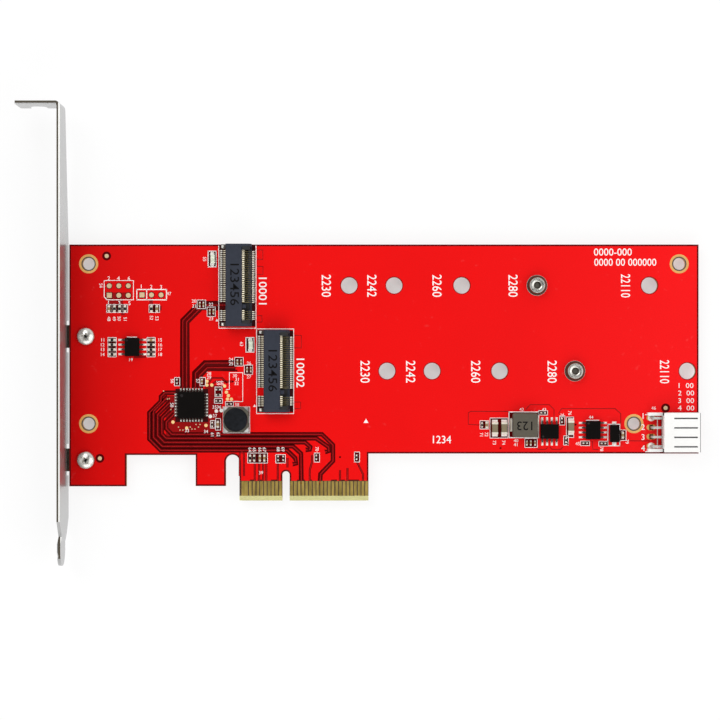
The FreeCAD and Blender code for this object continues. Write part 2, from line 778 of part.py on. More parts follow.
def build_standoffs():
    """Turned nuts pressed into the board, which hold the modules' free ends."""
    nuts = []
    for row in ("a", "b"):
        place = (f"row_{row}_x + {STANDOFF_LENGTH}", f"row_{row}_y", 0)
        body = piece("PartDesign::Body", f"Standoff{row.upper()}", place)
        bore = "standoff_thread / 2"
        shank = "(standoff_hole / 2 - press_clearance)"
        turned(body, "Turned", (
            (bore, "0 - board_thickness"), (shank, "0 - board_thickness"), (shank, 0),
            ("standoff_diameter / 2", 0), ("standoff_diameter / 2", "module_underside"),
            (bore, "module_underside"),
        ))
        nuts.append(body)
    group("module_standoffs", nuts)


def build_power_header():
    """Right-angle power header: open housing with a slotted roof and two rear arms."""
    body = sub_part("PartDesign::Body", "power_header_housing")
    low = f"({HEADER_Y} - {HEADER_HALF})"
    high = f"({HEADER_Y} + {HEADER_HALF})"
    block = sketch(body, "BlockOutline", "XY_Plane")
    add_rectangle(block, HEADER_BACK, HEADER_FRONT, low, high)
    pad(body, "Block", block, "header_height")
    mouth = sketch(body, "MouthOutline", "YZ_Plane", HEADER_FRONT)
    add_rectangle(mouth, f"{low} + header_wall", f"{high} - header_wall",
                  "header_wall", "header_height - header_wall")
    pocket(body, "Mouth", mouth, "header_depth - header_wall")
    arms = sketch(body, "ArmOutlines", "XY_Plane")
    for start, end in ((low, f"{low} + header_wall"), (f"{high} - header_wall", high)):
        add_rectangle(arms, f"{HEADER_BACK} - header_arm", HEADER_BACK, start, end)
    pad(body, "Arms", arms, "header_arm_height")
    slots = sketch(body, "RoofSlotOutlines", "XY_Plane", "header_height")
    slot_front = f"({HEADER_FRONT} - roof_slot_inset)"
    slot_back = f"({slot_front} - roof_slot_length)"
    for pin_y in HEADER_PINS:
        half = "roof_slot_width / 2"
        add_rectangle(slots, slot_back, slot_front, f"{pin_y} - {half}", f"{pin_y} + {half}")
    pocket(body, "RoofSlots", slots, "2 * header_wall")
    passages = sketch(body, "PinPassages", "YZ_Plane", f"{HEADER_BACK} + 2 * header_wall")
    for pin_y in HEADER_PINS:
        add_square(passages, pin_y, "pin_height", "(pin_width / 2 + pin_clearance)")
    pocket(body, "Passages", passages, "3 * header_wall")

    pins = sub_part("PartDesign::Body", "power_header_pins")
    section = sketch(pins, "PinSection", "XZ_Plane", f"0 - {HEADER_PINS[3]}")
    half = "pin_width / 2"
    tail = "(0 - board_thickness - pin_tail)"
    end = f"({HEADER_FRONT} - pin_setback)"
    add_polygon(section, (
        (f"{PIN_X} - {half}", tail), (f"{PIN_X} + {half}", tail),
        (f"{PIN_X} + {half}", f"pin_height - {half}"), (end, f"pin_height - {half}"),
        (end, f"pin_height + {half}"), (f"{PIN_X} - {half}", f"pin_height + {half}"),
    ))
    pin = pad(pins, "Pin", section, "pin_width", both_ways=True)
    repeat(pins, "PinRow", [pin], "Y_Axis", "header_pitch", len(HEADER_PINS))


def build_chip(label, make, place, length, width, height):
    """Moulded chip body with drafted sides above and below its parting line."""
    body = make("PartDesign::Body", label, place)
    middle = f"(chip_standoff + {height} / 2)"
    for name, backwards in (("Upper", False), ("Lower", True)):
        outline = sketch(body, f"{name}Outline", "XY_Plane", middle)
        add_centred(outline, length, width)
        pad(body, f"{name}Half", outline, f"{height} / 2", backwards=backwards, draft="0 - body_draft")
    return body


def build_leads(label, make, place, lead):
    """Rows of gull-wing leads around a chip, on two or four of its sides."""
    body = make("PartDesign::Body", label, place)
    inner = f"{lead['body']} / 2"
    outer = f"{lead['span']} / 2"
    knee = f"({outer} - {lead['foot']})"
    middle = f"(chip_standoff + {lead['height']} / 2)"
    section = sketch(body, "LeadSection", "XZ_Plane", f"{lead['count'] - 1} * {lead['pitch']} / 2")
    add_polygon(section, (
        (inner, f"{middle} - lead_thickness / 2"), (knee, 0), (outer, 0), (outer, "lead_thickness"),
        (f"{knee} + lead_thickness / 2", "lead_thickness"), (inner, f"{middle} + lead_thickness / 2"),
    ))
    first = pad(body, "Lead", section, lead["width"], both_ways=True)
    every = body.newObject("PartDesign::MultiTransform", "AllLeads")
    row = body.newObject("PartDesign::LinearPattern", "LeadRow")
    row.Direction = (origin_feature(body, "Y_Axis"), [""])
    bind(row, "Length", f"{lead['count'] - 1} * {lead['pitch']}")
    row.Occurrences = lead["count"]
    sides = body.newObject("PartDesign::PolarPattern", "LeadSides")
    sides.Axis = (origin_feature(body, "Z_Axis"), [""])
    sides.Angle = 360
    sides.Occurrences = lead["sides"]
    every.Originals = [first]
    every.Transformations = [row, sides]
    body.Tip = every
    return body


def build_chips():
    """Four-sided controller and three eight-lead chips."""
    build_chip("controller_chip_body", sub_part, CONTROLLER_PLACE,
               "controller_side", "controller_side", "controller_height")
    build_leads("controller_chip_leads", sub_part, CONTROLLER_PLACE, {
        "body": "controller_side", "span": "controller_span", "foot": "controller_foot",
        "height": "controller_height", "pitch": "controller_pitch", "width": "controller_lead",
        "count": CONTROLLER_LEADS, "sides": 4,
    })
    bodies = []
    leads = []
    for index, place in enumerate(SMALL_CHIP_PLACES, start=1):
        bodies.append(build_chip(f"SmallChip{index}", piece, place,
                                 "small_chip_width", "small_chip_length", "small_chip_height"))
        leads.append(build_leads(f"SmallChipLeads{index}", piece, place, {
            "body": "small_chip_width", "span": "small_chip_span", "foot": "small_chip_foot",
            "height": "small_chip_height", "pitch": "small_chip_pitch", "width": "small_chip_lead",
            "count": SMALL_CHIP_LEADS, "sides": 2,
        }))
    group("small_chip_bodies", bodies)
    group("small_chip_leads", leads)


def build_clips(label, place, length, foot, width, height):
    """Pair of bent terminals that wrap under a body and up its two ends."""
    body = sub_part("PartDesign::Body", label, place)
    for name, sign in (("Left", "-1"), ("Right", "1")):
        end = f"{sign} * {length} / 2"
        outer = f"{sign} * ({length} / 2 + clip_thickness)"
        inner = f"{sign} * ({length} / 2 - {foot})"
        section = sketch(body, f"{name}Section", "XZ_Plane")
        add_polygon(section, (
            (inner, 0), (outer, 0), (outer, height), (end, height),
            (end, "clip_thickness"), (inner, "clip_thickness"),
        ))
        pad(body, f"{name}Clip", section, width, both_ways=True)


def build_coil_block():
    """Moulded square power inductor on two wrapped terminals."""
    body = sub_part("PartDesign::Body", "power_inductor_body", COIL_BLOCK_PLACE)
    outline = sketch(body, "BlockOutline", "XY_Plane", "clip_thickness")
    add_cut_corners(outline, "coil_block_length", "coil_block_width", "coil_block_corner")
    pad(body, "Block", outline, "coil_block_height - clip_thickness")
    build_clips("power_inductor_terminals", COIL_BLOCK_PLACE,
                "coil_block_length", "clip_foot", "clip_width", "clip_height")


def build_drum_inductor():
    """Sealed drum inductor: square base with cut corners, round core and terminals."""
    base = sub_part("PartDesign::Body", "drum_inductor_base", DRUM_PLACE)
    outline = sketch(base, "BaseOutline", "XY_Plane", "clip_thickness")
    add_cut_corners(outline, "drum_side", "drum_side", "drum_corner")
    pad(base, "Base", outline, "drum_base_height - clip_thickness")
    core = sub_part("PartDesign::Body", "drum_inductor_core", DRUM_PLACE)
    rim = "drum_diameter / 2"
    turned(core, "Drum", (
        (0, "drum_base_height"), (rim, "drum_base_height"), (rim, "drum_height"), (0, "drum_height"),
    ))
    build_clips("drum_inductor_terminals", DRUM_PLACE,
                "drum_side", "clip_foot", "drum_pad", "drum_base_height")


def build_diode():
    """Moulded diode with two wrapped terminals."""
    body = sub_part("PartDesign::Body", "diode_body", DIODE_PLACE)
    middle = "(clip_thickness + (diode_height - clip_thickness) / 2)"
    for name, backwards in (("Upper", False), ("Lower", True)):
        outline = sketch(body, f"{name}Outline", "XY_Plane", middle)
        add_centred(outline, "diode_length", "diode_width")
        pad(body, f"{name}Half", outline, "(diode_height - clip_thickness) / 2",
            backwards=backwards, draft="0 - body_draft")
    build_clips("diode_terminals", DIODE_PLACE,
                "diode_length", "diode_foot", "diode_clip_width", "diode_clip_height")


def build_chip_parts(label, layout):
    """Group of two-ended parts, each one ceramic block with its plated ends."""
    blocks = []
    for size, along, places in layout:
        across, upright = ("length", "width") if along == "X" else ("width", "length")
        for x, y in places:
            item = piece("Part::Box", f"{label}_block")
            bind(item, "Length", f"{size}_{across}")
            bind(item, "Width", f"{size}_{upright}")
            bind(item, "Height", f"{size}_height")
            bind(item, "Placement.Base.x", f"{x} - {size}_{across} / 2")
            bind(item, "Placement.Base.y", f"{y} - {size}_{upright} / 2")
            blocks.append(item)
    group(label, blocks)


build_board()
build_fingers()
build_bracket()
build_bracket_screws()
for socket_row in ("a", "b"):
    build_socket_housing(socket_row)
    build_socket_contacts(socket_row)
    build_socket_anchors(socket_row)
build_standoffs()
build_power_header()
build_chips()
build_coil_block()
build_drum_inductor()
build_diode()
build_chip_parts("small_capacitors", CAPACITORS)
build_chip_parts("large_capacitors", LARGE_CAPACITORS)
build_chip_parts("resistors", RESISTORS)
build_chip_parts("status_lamps", LAMPS)
doc.recompute()

for item in doc.Objects:
    if "Invalid" in item.State or "Error" in item.State:
        raise RuntimeError(f"{item.Label} did not compute: {item.State}")
for item in sub_parts:
    if item.Shape.isNull() or not item.Shape.isValid():
        raise RuntimeError(f"{item.Label} has no valid shape")

os.makedirs("parts", exist_ok=True)
for item in sub_parts:
    item.Shape.exportStep(f"parts/{item.Label}.step")
    print(f"{item.Label}: {len(item.Shape.Solids)} solids, {item.Shape.Volume:.2f} mm3")
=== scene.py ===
import math
import bpy
from mathutils import Matrix, Vector


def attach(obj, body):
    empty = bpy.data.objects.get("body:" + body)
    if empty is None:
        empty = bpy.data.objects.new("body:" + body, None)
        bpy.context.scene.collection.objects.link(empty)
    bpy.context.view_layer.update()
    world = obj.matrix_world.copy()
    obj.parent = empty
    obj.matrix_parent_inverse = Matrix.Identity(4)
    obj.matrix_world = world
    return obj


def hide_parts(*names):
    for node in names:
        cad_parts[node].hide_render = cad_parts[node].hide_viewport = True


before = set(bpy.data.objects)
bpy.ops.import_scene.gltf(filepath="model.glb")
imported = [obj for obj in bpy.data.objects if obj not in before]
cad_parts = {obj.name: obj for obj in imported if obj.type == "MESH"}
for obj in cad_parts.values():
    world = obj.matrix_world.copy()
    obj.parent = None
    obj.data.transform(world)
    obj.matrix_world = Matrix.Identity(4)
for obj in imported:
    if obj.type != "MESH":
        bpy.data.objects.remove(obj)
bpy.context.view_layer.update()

MM = 0.001
ROOT = "root"

# The view: straight down from above the card
VIEW_CENTRE = (19.72, 37.47)
VIEW_HEIGHT = 620.0
LENS = 116.35
# Points of the 720 by 720 view for each millimetre of the board, and the view's point over the origin
VIEW_SCALE = 3.7527
VIEW_ORIGIN = (286.0, 500.6)

# Board
BOARD_LEFT = -57.73
BOARD_RIGHT = 109.92
BOARD_UNDER = -1.57
ROWS = {"a": (-13.16, 57.34), "b": (-3.06, 34.53)}
MODULE_LENGTHS = (30, 42, 60, 110)
STANDOFF_LENGTH = 80
PLATED_HOLES = ((-52.58, 63.09), (-52.58, 20.5), (104.77, 63.09), (92.70, 20.5))
SCREW_PLACES = ((-53.3, 10.8), (-53.3, 43.75))
FINGER_RUNS = ((-12.39, -0.99), (0.99, 21.98))

# Bracket: where the painted highlight on its top edge begins, and how far its tab reaches
HIGHLIGHT_FROM = -58.8
TAB_TO = -59.4
TAB_END = 104.4

# Heights of the thin layers on the component face, each one clear of the last
LAYER_CHANNEL = 0.010
LAYER_TRACE = 0.018
LAYER_PAD = 0.028
LAYER_PRINT = 0.036
# Step that keeps crossing layers of one kind apart, and how far each layer is sunk into the board
LAYER_STEP = 0.0004
SUNK = -0.02


# Shader maths

class Link:
    """A socket that takes part in Python expressions, and adds a node for each operation."""

    def __init__(self, paint, socket):
        self.paint = paint
        self.socket = socket

    def maths(self, operation, first, second):
        return self.paint.node("ShaderNodeMath", {"operation": operation}, {0: first, 1: second})

    def __add__(self, other):
        return self.maths("ADD", self, other)

    def __radd__(self, other):
        return self.maths("ADD", other, self)

    def __sub__(self, other):
        return self.maths("SUBTRACT", self, other)

    def __rsub__(self, other):
        return self.maths("SUBTRACT", other, self)

    def __mul__(self, other):
        return self.maths("MULTIPLY", self, other)

    def __rmul__(self, other):
        return self.maths("MULTIPLY", other, self)

    def __gt__(self, other):
        return self.maths("GREATER_THAN", self, other)

    def __lt__(self, other):
        return self.maths("LESS_THAN", self, other)


class Paint:
    """One material under construction."""

    def __init__(self, name, **constants):
        self.material = bpy.data.materials.new(name)
        self.material.use_nodes = True
        self.tree = self.material.node_tree
        self.shader = self.tree.nodes["Principled BSDF"]
        for socket, number in constants.items():
            self.shader.inputs[socket.replace("_", " ")].default_value = number
        self.place = self.node("ShaderNodeTexCoord", {}, {}, "Object")

    def node(self, kind, settings, sockets, output=0):
        made = self.tree.nodes.new(kind)
        for key, setting in settings.items():
            if key == "stops":
                ramp = made.color_ramp
                while len(ramp.elements) < len(setting):
                    ramp.elements.new(1.0)
                for element, (position, colour) in zip(ramp.elements, setting):
                    element.position = position
                    element.color = (*colour, 1) if len(colour) == 3 else colour
            else:
                setattr(made, key, setting)
        for key, given in sockets.items():
            if isinstance(given, Link):
                self.tree.links.new(given.socket, made.inputs[key])
            else:
                made.inputs[key].default_value = given
        return Link(self, made.outputs[output])

    def noise(self, scale, detail=3.0, rough=0.55, stretch=None):
        spot = self.place
        if stretch:
            spot = self.node("ShaderNodeMapping", {}, {"Vector": spot, "Scale": stretch})
        return self.node("ShaderNodeTexNoise", {"noise_dimensions": "3D"},
                         {"Vector": spot, "Scale": scale, "Detail": detail, "Roughness": rough})

    def ramp(self, factor, stops):
        return self.node("ShaderNodeValToRGB", {"stops": stops}, {"Fac": factor})

    def mottle(self, factor, dark, light):
        """Colour between two over the middle of a noise's range."""
        return self.ramp(factor, ((0.3, dark), (0.7, light)))

    def uneven(self, factor, low, high):
        """Number between two over the middle of a noise's range."""
        return self.spread(factor, 0.3, 0.7, low, high)

    def blend(self, factor, first, second):
        return self.node("ShaderNodeMix", {"data_type": "RGBA"}, {0: factor, 6: first, 7: second}, 2)

    def spread(self, factor, low, high, low_out=0.0, high_out=1.0):
        return self.node("ShaderNodeMapRange", {"clamp": True},
                         {0: factor, 1: low, 2: high, 3: low_out, 4: high_out})

    def axes(self, source=None):
        spot = source or self.place
        made = self.tree.nodes.new("ShaderNodeSeparateXYZ")
        self.tree.links.new(spot.socket, made.inputs[0])
        return [Link(self, made.outputs[index]) for index in range(3)]

    def normal_axes(self):
        return self.axes(self.node("ShaderNodeNewGeometry", {}, {}, "Normal"))

    def feed(self, socket, link):
        self.tree.links.new(link.socket, self.shader.inputs[socket])

    def bump(self, height, distance, strength=0.6):
        self.feed("Normal", self.node("ShaderNodeBump", {},
                                      {"Height": height, "Distance": distance * MM, "Strength": strength}))


def srgb(red, green, blue):
    """Linear colour from the 0 to 255 numbers of a display."""
    def one(number):
        share = number / 255
        return share / 12.92 if share <= 0.04045 else ((share + 0.055) / 1.055) ** 2.4
    return (one(red), one(green), one(blue), 1)


def shade(colour, factor):
    return tuple(part * factor for part in colour[:3]) + (1,)


def plain_finish(name, colour, rough, grain_scale, variation=0.12, bump=0.004,
                 coat=0.0, rough_span=0.12, shine=0.5):
    """Colour with fine mottling, uneven gloss and a grain that stands in relief."""
    paint = Paint(name, Coat_Weight=coat, Specular_IOR_Level=shine)
    fine = paint.noise(grain_scale, 4)
    broad = paint.noise(grain_scale / 9, 2)
    tone = fine * 0.5 + broad * 0.5
    paint.feed("Base Color", paint.mottle(tone, shade(colour, 1 - variation), shade(colour, 1 + variation)))
    paint.feed("Roughness", paint.uneven(fine, rough - rough_span / 2, rough + rough_span / 2))
    paint.bump(fine, bump)
    return paint.material


def board_finish():
    """Red solder mask over copper, with painted light that makes it brighter to the right, and the bare
    laminate on its cut edges.
    """
    paint = Paint("solder_mask_red", Specular_IOR_Level=0.10)
    x, _, _ = paint.axes()
    weave = paint.noise(2600, 2, 0.6)
    cloud = paint.noise(38, 3, 0.5)
    # Painted light: the mask's red brightens from left to right along the board
    along = paint.spread(x, BOARD_LEFT * MM, BOARD_RIGHT * MM, 0.0, 1.0)
    mask = paint.ramp(along, ((0.0, srgb(194, 1, 1)), (0.05, srgb(206, 3, 3)), (0.12, srgb(220, 6, 6)),
                              (0.3, srgb(232, 9, 9)), (0.5, srgb(230, 10, 11)), (0.75, srgb(232, 12, 14)),
                              (1.0, srgb(240, 15, 19))))
    dim = paint.blend(paint.spread(weave * 0.55 + cloud * 0.45, 0.35, 0.65, 0.0, 0.16), mask, srgb(180, 4, 5))
    dust = paint.spread(paint.noise(520, 2, 0.5) * 0.7 + paint.noise(90, 2, 0.5) * 0.3, 0.64, 0.76, 0.0, 0.10)
    dim = paint.blend(dust, dim, srgb(246, 150, 150))
    fibre = paint.noise(900, 3, 0.6, stretch=(1, 1, 9))
    laminate = paint.mottle(fibre, srgb(120, 92, 50), srgb(176, 148, 92))
    _, _, up = paint.normal_axes()
    edge = (up * up) < 0.9
    paint.feed("Base Color", paint.blend(edge, dim, laminate))
    paint.feed("Roughness", paint.uneven(weave, 0.30, 0.42) + edge * 0.4)
    paint.bump(weave + fibre * edge, 0.004, 0.35)
    return paint.material


def gold_finish(name, colour, rough):
    """Plated gold with fine rubbing marks along the contacts."""
    paint = Paint(name, Metallic=1.0)
    rub = paint.noise(1500, 3, 0.6, stretch=(1, 0.12, 1))
    cloud = paint.noise(240, 2)
    paint.feed("Base Color", paint.mottle(rub * 0.5 + cloud * 0.5, shade(colour, 0.86), colour))
    paint.feed("Roughness", paint.uneven(rub, rough - 0.07, rough + 0.09))
    paint.bump(rub, 0.0015, 0.4)
    return paint.material


def bracket_finish():
    """Nickel-plated sheet with long rolling marks; on its upward faces a near-black painted shade outside and
    a near-white painted highlight inside.
    """
    paint = Paint("bracket_nickel", Metallic=0.8)
    x, y, z = paint.axes()
    marks = paint.noise(700, 4, 0.65, stretch=(1, 0.05, 1))
    tone = marks * 0.45 + paint.noise(45, 3) * 0.55
    _, _, up = paint.normal_axes()
    # Painted shade is near-black on the upward faces outside the highlight and the tab; the painted highlight
    # is near-white on those inside
    flat = up > 0.85
    inside = (x > HIGHLIGHT_FROM * MM) * (z > 0)
    tab = (x < TAB_TO * MM) * (y < TAB_END * MM) * (z > 0)
    dark = flat * (1 - inside) * (1 - tab)
    bright = flat * inside
    plate = paint.mottle(tone, (0.40, 0.40, 0.40), (0.49, 0.49, 0.485))
    plate = paint.blend(dark, plate, (0.062, 0.050, 0.032, 1))
    paint.feed("Base Color", paint.blend(bright, plate, (0.93, 0.93, 0.90, 1)))
    paint.feed("Metallic", 0.8 - bright * 0.6 - dark * 0.5)
    paint.feed("Roughness", paint.uneven(tone, 0.22, 0.36) + dark * 0.2)
    paint.bump(marks, 0.003, 0.35)
    return paint.material


def turned_finish(name, colour, rough):
    """Turned or rolled bright metal, with small rings of tool marks."""
    paint = Paint(name, Metallic=1.0)
    marks = paint.noise(1900, 3, 0.6, stretch=(1, 1, 0.2))
    paint.feed("Base Color", paint.mottle(marks, shade(colour, 0.82), colour))
    paint.feed("Roughness", paint.uneven(marks, rough - 0.06, rough + 0.08))
    paint.bump(marks, 0.003, 0.4)
    return paint.material


def solder_finish():
    """Bright solder with a slightly frosted skin."""
    paint = Paint("solder", Metallic=0.25)
    skin = paint.noise(2400, 3, 0.6)
    paint.feed("Base Color", paint.mottle(skin, (0.78, 0.76, 0.70), (0.97, 0.95, 0.90)))
    paint.feed("Roughness", paint.uneven(skin, 0.30, 0.46))
    paint.bump(skin, 0.008, 0.5)
    return paint.material


FINISH = {
    "board": board_finish(),
    "channel": plain_finish("mask_over_bare_laminate", srgb(84, 1, 3), 0.42, 2600, 0.14, 0.003,
                            shine=0.04),
    "trace": plain_finish("mask_over_trace", srgb(164, 20, 22), 0.42, 2600, 0.10, 0.003, shine=0.05),
    "rim": plain_finish("mask_at_the_edge", srgb(96, 10, 12), 0.5, 2600, 0.14, 0.003, shine=0.05),
    "faint": plain_finish("mask_over_gap", srgb(142, 7, 9), 0.34, 2600, 0.10, 0.003, shine=0.12),
    "print": plain_finish("white_print", srgb(243, 238, 236), 0.62, 3200, 0.05, 0.004),
    "gold": gold_finish("finger_gold", (0.68, 0.49, 0.13, 1), 0.34),
    "ring": plain_finish("plated_ring", srgb(214, 160, 84), 0.42, 1500, 0.12, 0.004, shine=0.6),
    "pale_gold": plain_finish("pale_gold", srgb(240, 202, 134), 0.36, 1800, 0.12, 0.006, shine=0.7),
    "end": plain_finish("solder_on_ends", srgb(214, 206, 190), 0.34, 1900, 0.16, 0.008, shine=0.8),
    "drum": plain_finish("drum_base_grey", srgb(92, 88, 76), 0.5, 1500, 0.25, 0.02),
    "contact_gold": gold_finish("contact_gold", (0.97, 0.89, 0.68, 1), 0.30),
    "bevel": plain_finish("bare_bevel", srgb(196, 192, 132), 0.6, 1400, 0.12, 0.008),
    "nickel": bracket_finish(),
    "screw": turned_finish("screw_nickel", (0.72, 0.70, 0.65, 1), 0.27),
    "standoff": turned_finish("standoff_tin", (0.62, 0.61, 0.56, 1), 0.28),
    # Painted shade on the standoffs' sloped waist
    "waist_shade": plain_finish("waist_painted_shade", srgb(66, 56, 42), 0.45, 1500, 0.3, 0.01, shine=0.3),
    "black_ink": plain_finish("black_marking", srgb(18, 17, 18), 0.7, 2400, 0.15, 0.004, shine=0.05),
    "dark_hole": plain_finish("hole_shade", srgb(24, 22, 20), 0.8, 900, 0.2, 0.01),
    "solder": solder_finish(),
    "slate": plain_finish("socket_slate", srgb(45, 49, 60), 0.50, 1500, 0.14, 0.008, shine=0.2),
    # Near black: painted shade in the socket mouths, and the lamps' own dark bases
    "slate_dark": plain_finish("socket_deep", srgb(9, 9, 11), 0.60, 1500, 0.12, 0.008),
    "bronze": gold_finish("beam_bronze", (0.20, 0.17, 0.09, 1), 0.42),
    "header": plain_finish("header_white", srgb(237, 236, 234), 0.46, 700, 0.03, 0.008, rough_span=0.08),
    "chip": plain_finish("moulding_black", srgb(10, 7, 6), 0.62, 1900, 0.30, 0.010, shine=0.06),
    # Grey painted shade for the power header's slots and front edge
    "painted_shade_grey": plain_finish("grey_painted_shade", srgb(112, 112, 114), 0.6, 2400, 0.10, 0.004),
    "tin": turned_finish("lead_tin", (0.60, 0.59, 0.57, 1), 0.36),
    "ferrite": plain_finish("ferrite", srgb(15, 17, 22), 0.40, 1100, 0.80, 0.060, shine=0.2),
    "olive": plain_finish("inductor_olive", srgb(77, 71, 58), 0.52, 1700, 0.14, 0.025),
    "brown": plain_finish("ceramic_brown", srgb(124, 111, 85), 0.42, 1300, 0.12, 0.008),
    "cream": plain_finish("ceramic_cream", srgb(146, 114, 76), 0.42, 1300, 0.14, 0.008),
    "glass": plain_finish("resistor_black", srgb(20, 14, 14), 0.30, 1300, 0.2, 0.004),
    "alumina": plain_finish("alumina", srgb(226, 222, 214), 0.5, 1300, 0.05, 0.006),
    "lens": plain_finish("lamp_lens", srgb(214, 222, 200), 0.16, 500, 0.06, 0.002, coat=0.5),
    "bare": plain_finish("bare_laminate", srgb(66, 46, 22), 0.55, 1400, 0.2, 0.006),
    "maroon": plain_finish("mask_in_shadow", srgb(52, 3, 5), 0.4, 2000, 0.2, 0.004, shine=0.12),
    # Near-black metal for the chip leads and socket tabs: painted shade on their bends
    "shoulder": turned_finish("lead_metal_painted_shade", (0.10, 0.09, 0.08, 1), 0.40),
    "tan": plain_finish("dull_pad", srgb(206, 180, 140), 0.42, 1500, 0.12, 0.006),
}


# Mesh building: each Shape gathers closed solids in millimetres

CORNER_SIGNS = ((-1, -1), (1, -1), (1, 1), (-1, 1))


class Shape:
    def __init__(self):
        self.points = []
        self.faces = []

    def stack(self, rings):
        """Closed solid from rings of points that run anticlockwise, the lowest first."""
        count = len(rings[0])
        start = len(self.points)
        for ring in rings:
            self.points += ring
        self.faces.append([start + index for index in reversed(range(count))])
        for level in range(len(rings) - 1):
            here = start + level * count
            for index in range(count):
                near, far = here + index, here + (index + 1) % count
                self.faces.append([near, far, far + count, near + count])
        top = start + (len(rings) - 1) * count
        self.faces.append([top + index for index in range(count)])
        return self

    def prism(self, outline, low, high, crown=0.0):
        """Straight prism on an outline that runs anticlockwise, its top edge cut back by the crown."""
        rings = [[(x, y, low) for x, y in outline]]
        inner = outline
        if crown:
            rings.append([(x, y, high - crown) for x, y in outline])
            middle_x = sum(x for x, _ in outline) / len(outline)
            middle_y = sum(y for _, y in outline) / len(outline)
            inner = []
            for x, y in outline:
                reach = math.hypot(x - middle_x, y - middle_y) or 1.0
                share = max(0.0, 1 - crown * 1.4 / reach)
                inner.append((middle_x + (x - middle_x) * share, middle_y + (y - middle_y) * share))
        return self.stack(rings + [[(x, y, high) for x, y in inner]])

    def box(self, x, y, low, high, length, width, crown=0.0):
        half_x, half_y = length / 2, width / 2
        return self.prism(((x - half_x, y - half_y), (x + half_x, y - half_y),
                           (x + half_x, y + half_y), (x - half_x, y + half_y)), low, high, crown)

    def span(self, x_low, x_high, y_low, y_high, low, high):
        return self.box((x_low + x_high) / 2, (y_low + y_high) / 2, low, high, x_high - x_low, y_high - y_low)

    def disc(self, x, y, low, high, radius, sides=28, crown=0.0, turn=0.0):
        outline = [(x + radius * math.cos(math.tau * index / sides + turn),
                    y + radius * math.sin(math.tau * index / sides + turn)) for index in range(sides)]
        return self.prism(outline, low, high, crown)

    def mound(self, x, y, length, width, height):
        """Low heap with slopes on all four sides."""
        steps = ((SUNK, 1.0), (height * 0.45, 0.62), (height * 0.8, 0.3), (height, 0.06))
        return self.stack([[(x + sx * length / 2 * share, y + sy * width / 2 * share, level)
                            for sx, sy in CORNER_SIGNS] for level, share in steps])

    def turned(self, x, y, section, sides=40):
        """Ring or cup from (radius, height) points that run anticlockwise in the half plane."""
        start = len(self.points)
        count = len(section)
        for step in range(sides):
            angle = math.tau * step / sides
            for radius, height in section:
                self.points.append((x + radius * math.cos(angle), y + radius * math.sin(angle), height))
        for step in range(sides):
            here = start + step * count
            there = start + (step + 1) % sides * count
            for index in range(count):
                following = (index + 1) % count
                self.faces.append([here + index, there + index, there + following, here + following])
        return self

    def profile(self, section, low, high, axis="y"):
        """Prism whose section lies across the given axis: (x, z) for y, (y, z) for x."""
        count = len(section)
        start = len(self.points)
        for level in (low, high):
            for a, b in section:
                self.points.append((a, level, b) if axis == "y" else (level, a, b))
        area = sum(section[i][0] * section[(i + 1) % count][1] - section[(i + 1) % count][0] * section[i][1]
                   for i in range(count))
        flip = (area > 0) == (axis == "y")
        first = [start + index for index in range(count)]
        second = [start + count + index for index in range(count)]
        self.faces.append(first if flip else first[::-1])
        self.faces.append(second[::-1] if flip else second)
        for index in range(count):
            following = (index + 1) % count
            quad = [start + index, start + count + index, start + count + following, start + following]
            self.faces.append(quad if flip else quad[::-1])
        return self

    def mesh(self, name):
        made = bpy.data.meshes.new(name)
        made.from_pydata([(x * MM, y * MM, z * MM) for x, y, z in self.points], [], self.faces)
        made.update()
        return made


def new_object(name, data):
    made = bpy.data.objects.new(name, data)
    bpy.context.scene.collection.objects.link(made)
    return made


def plain_mesh(thing):
    """Mesh of an object with its live modifiers or its text worked out."""
    graph = bpy.context.evaluated_depsgraph_get()
    return bpy.data.meshes.new_from_object(thing.evaluated_get(graph), depsgraph=graph)


def add_piece(name, mesh, finish, replaces=(), smooth=None):
    """Finished piece at the origin, riding on the card."""
    piece = new_object(name, mesh)
    mesh.materials.clear()
    mesh.materials.append(FINISH[finish])
    if smooth is not None:
        mesh.polygons.foreach_set("use_smooth", [True] * len(mesh.polygons))
        mesh.set_sharp_from_angle(angle=math.radians(smooth))
    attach(piece, ROOT)
    if replaces:
        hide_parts(*replaces)


def add_shape(name, shape, finish, replaces=(), smooth=None, bevel=None):
    mesh = shape.mesh(name)
    if bevel:
        holder = new_object(name + "_block", mesh)
        edge = holder.modifiers.new("EdgeRound", "BEVEL")
        edge.width = bevel * MM
        edge.segments = 2
        edge.limit_method = "ANGLE"
        edge.angle_limit = math.radians(35)
        mesh = plain_mesh(holder)
        bpy.data.objects.remove(holder)
    add_piece(name, mesh, finish, replaces, smooth)


# Geometry Nodes trees

def wire(tree, *links):
    """Join sockets, each link given as (node, its output, node, its input)."""
    for source, output, target, socket in links:
        tree.links.new(source.outputs[output], target.inputs[socket])


def new_tree(name, inputs):
    """Empty tree with a geometry in and out, the named inputs and a finish for the result."""
    tree = bpy.data.node_groups.new(name, "GeometryNodeTree")
    tree.interface.new_socket("Geometry", in_out="INPUT", socket_type="NodeSocketGeometry")
    for label, kind, default in inputs + (("Finish", "NodeSocketMaterial", None),):
        socket = tree.interface.new_socket(label, in_out="INPUT", socket_type=kind)
        if default is not None:
            socket.default_value = default
    tree.interface.new_socket("Geometry", in_out="OUTPUT", socket_type="NodeSocketGeometry")
    return tree, tree.nodes.new("NodeGroupInput")


def end_tree(tree, source, last, output):
    """Realize Instances and Set Material after the last node."""
    real = tree.nodes.new("GeometryNodeRealizeInstances")
    dress = tree.nodes.new("GeometryNodeSetMaterial")
    sink = tree.nodes.new("NodeGroupOutput")
    wire(tree, (last, output, real, "Geometry"), (real, "Geometry", dress, "Geometry"),
         (source, "Finish", dress, "Material"), (dress, "Geometry", sink, "Geometry"))
    return tree


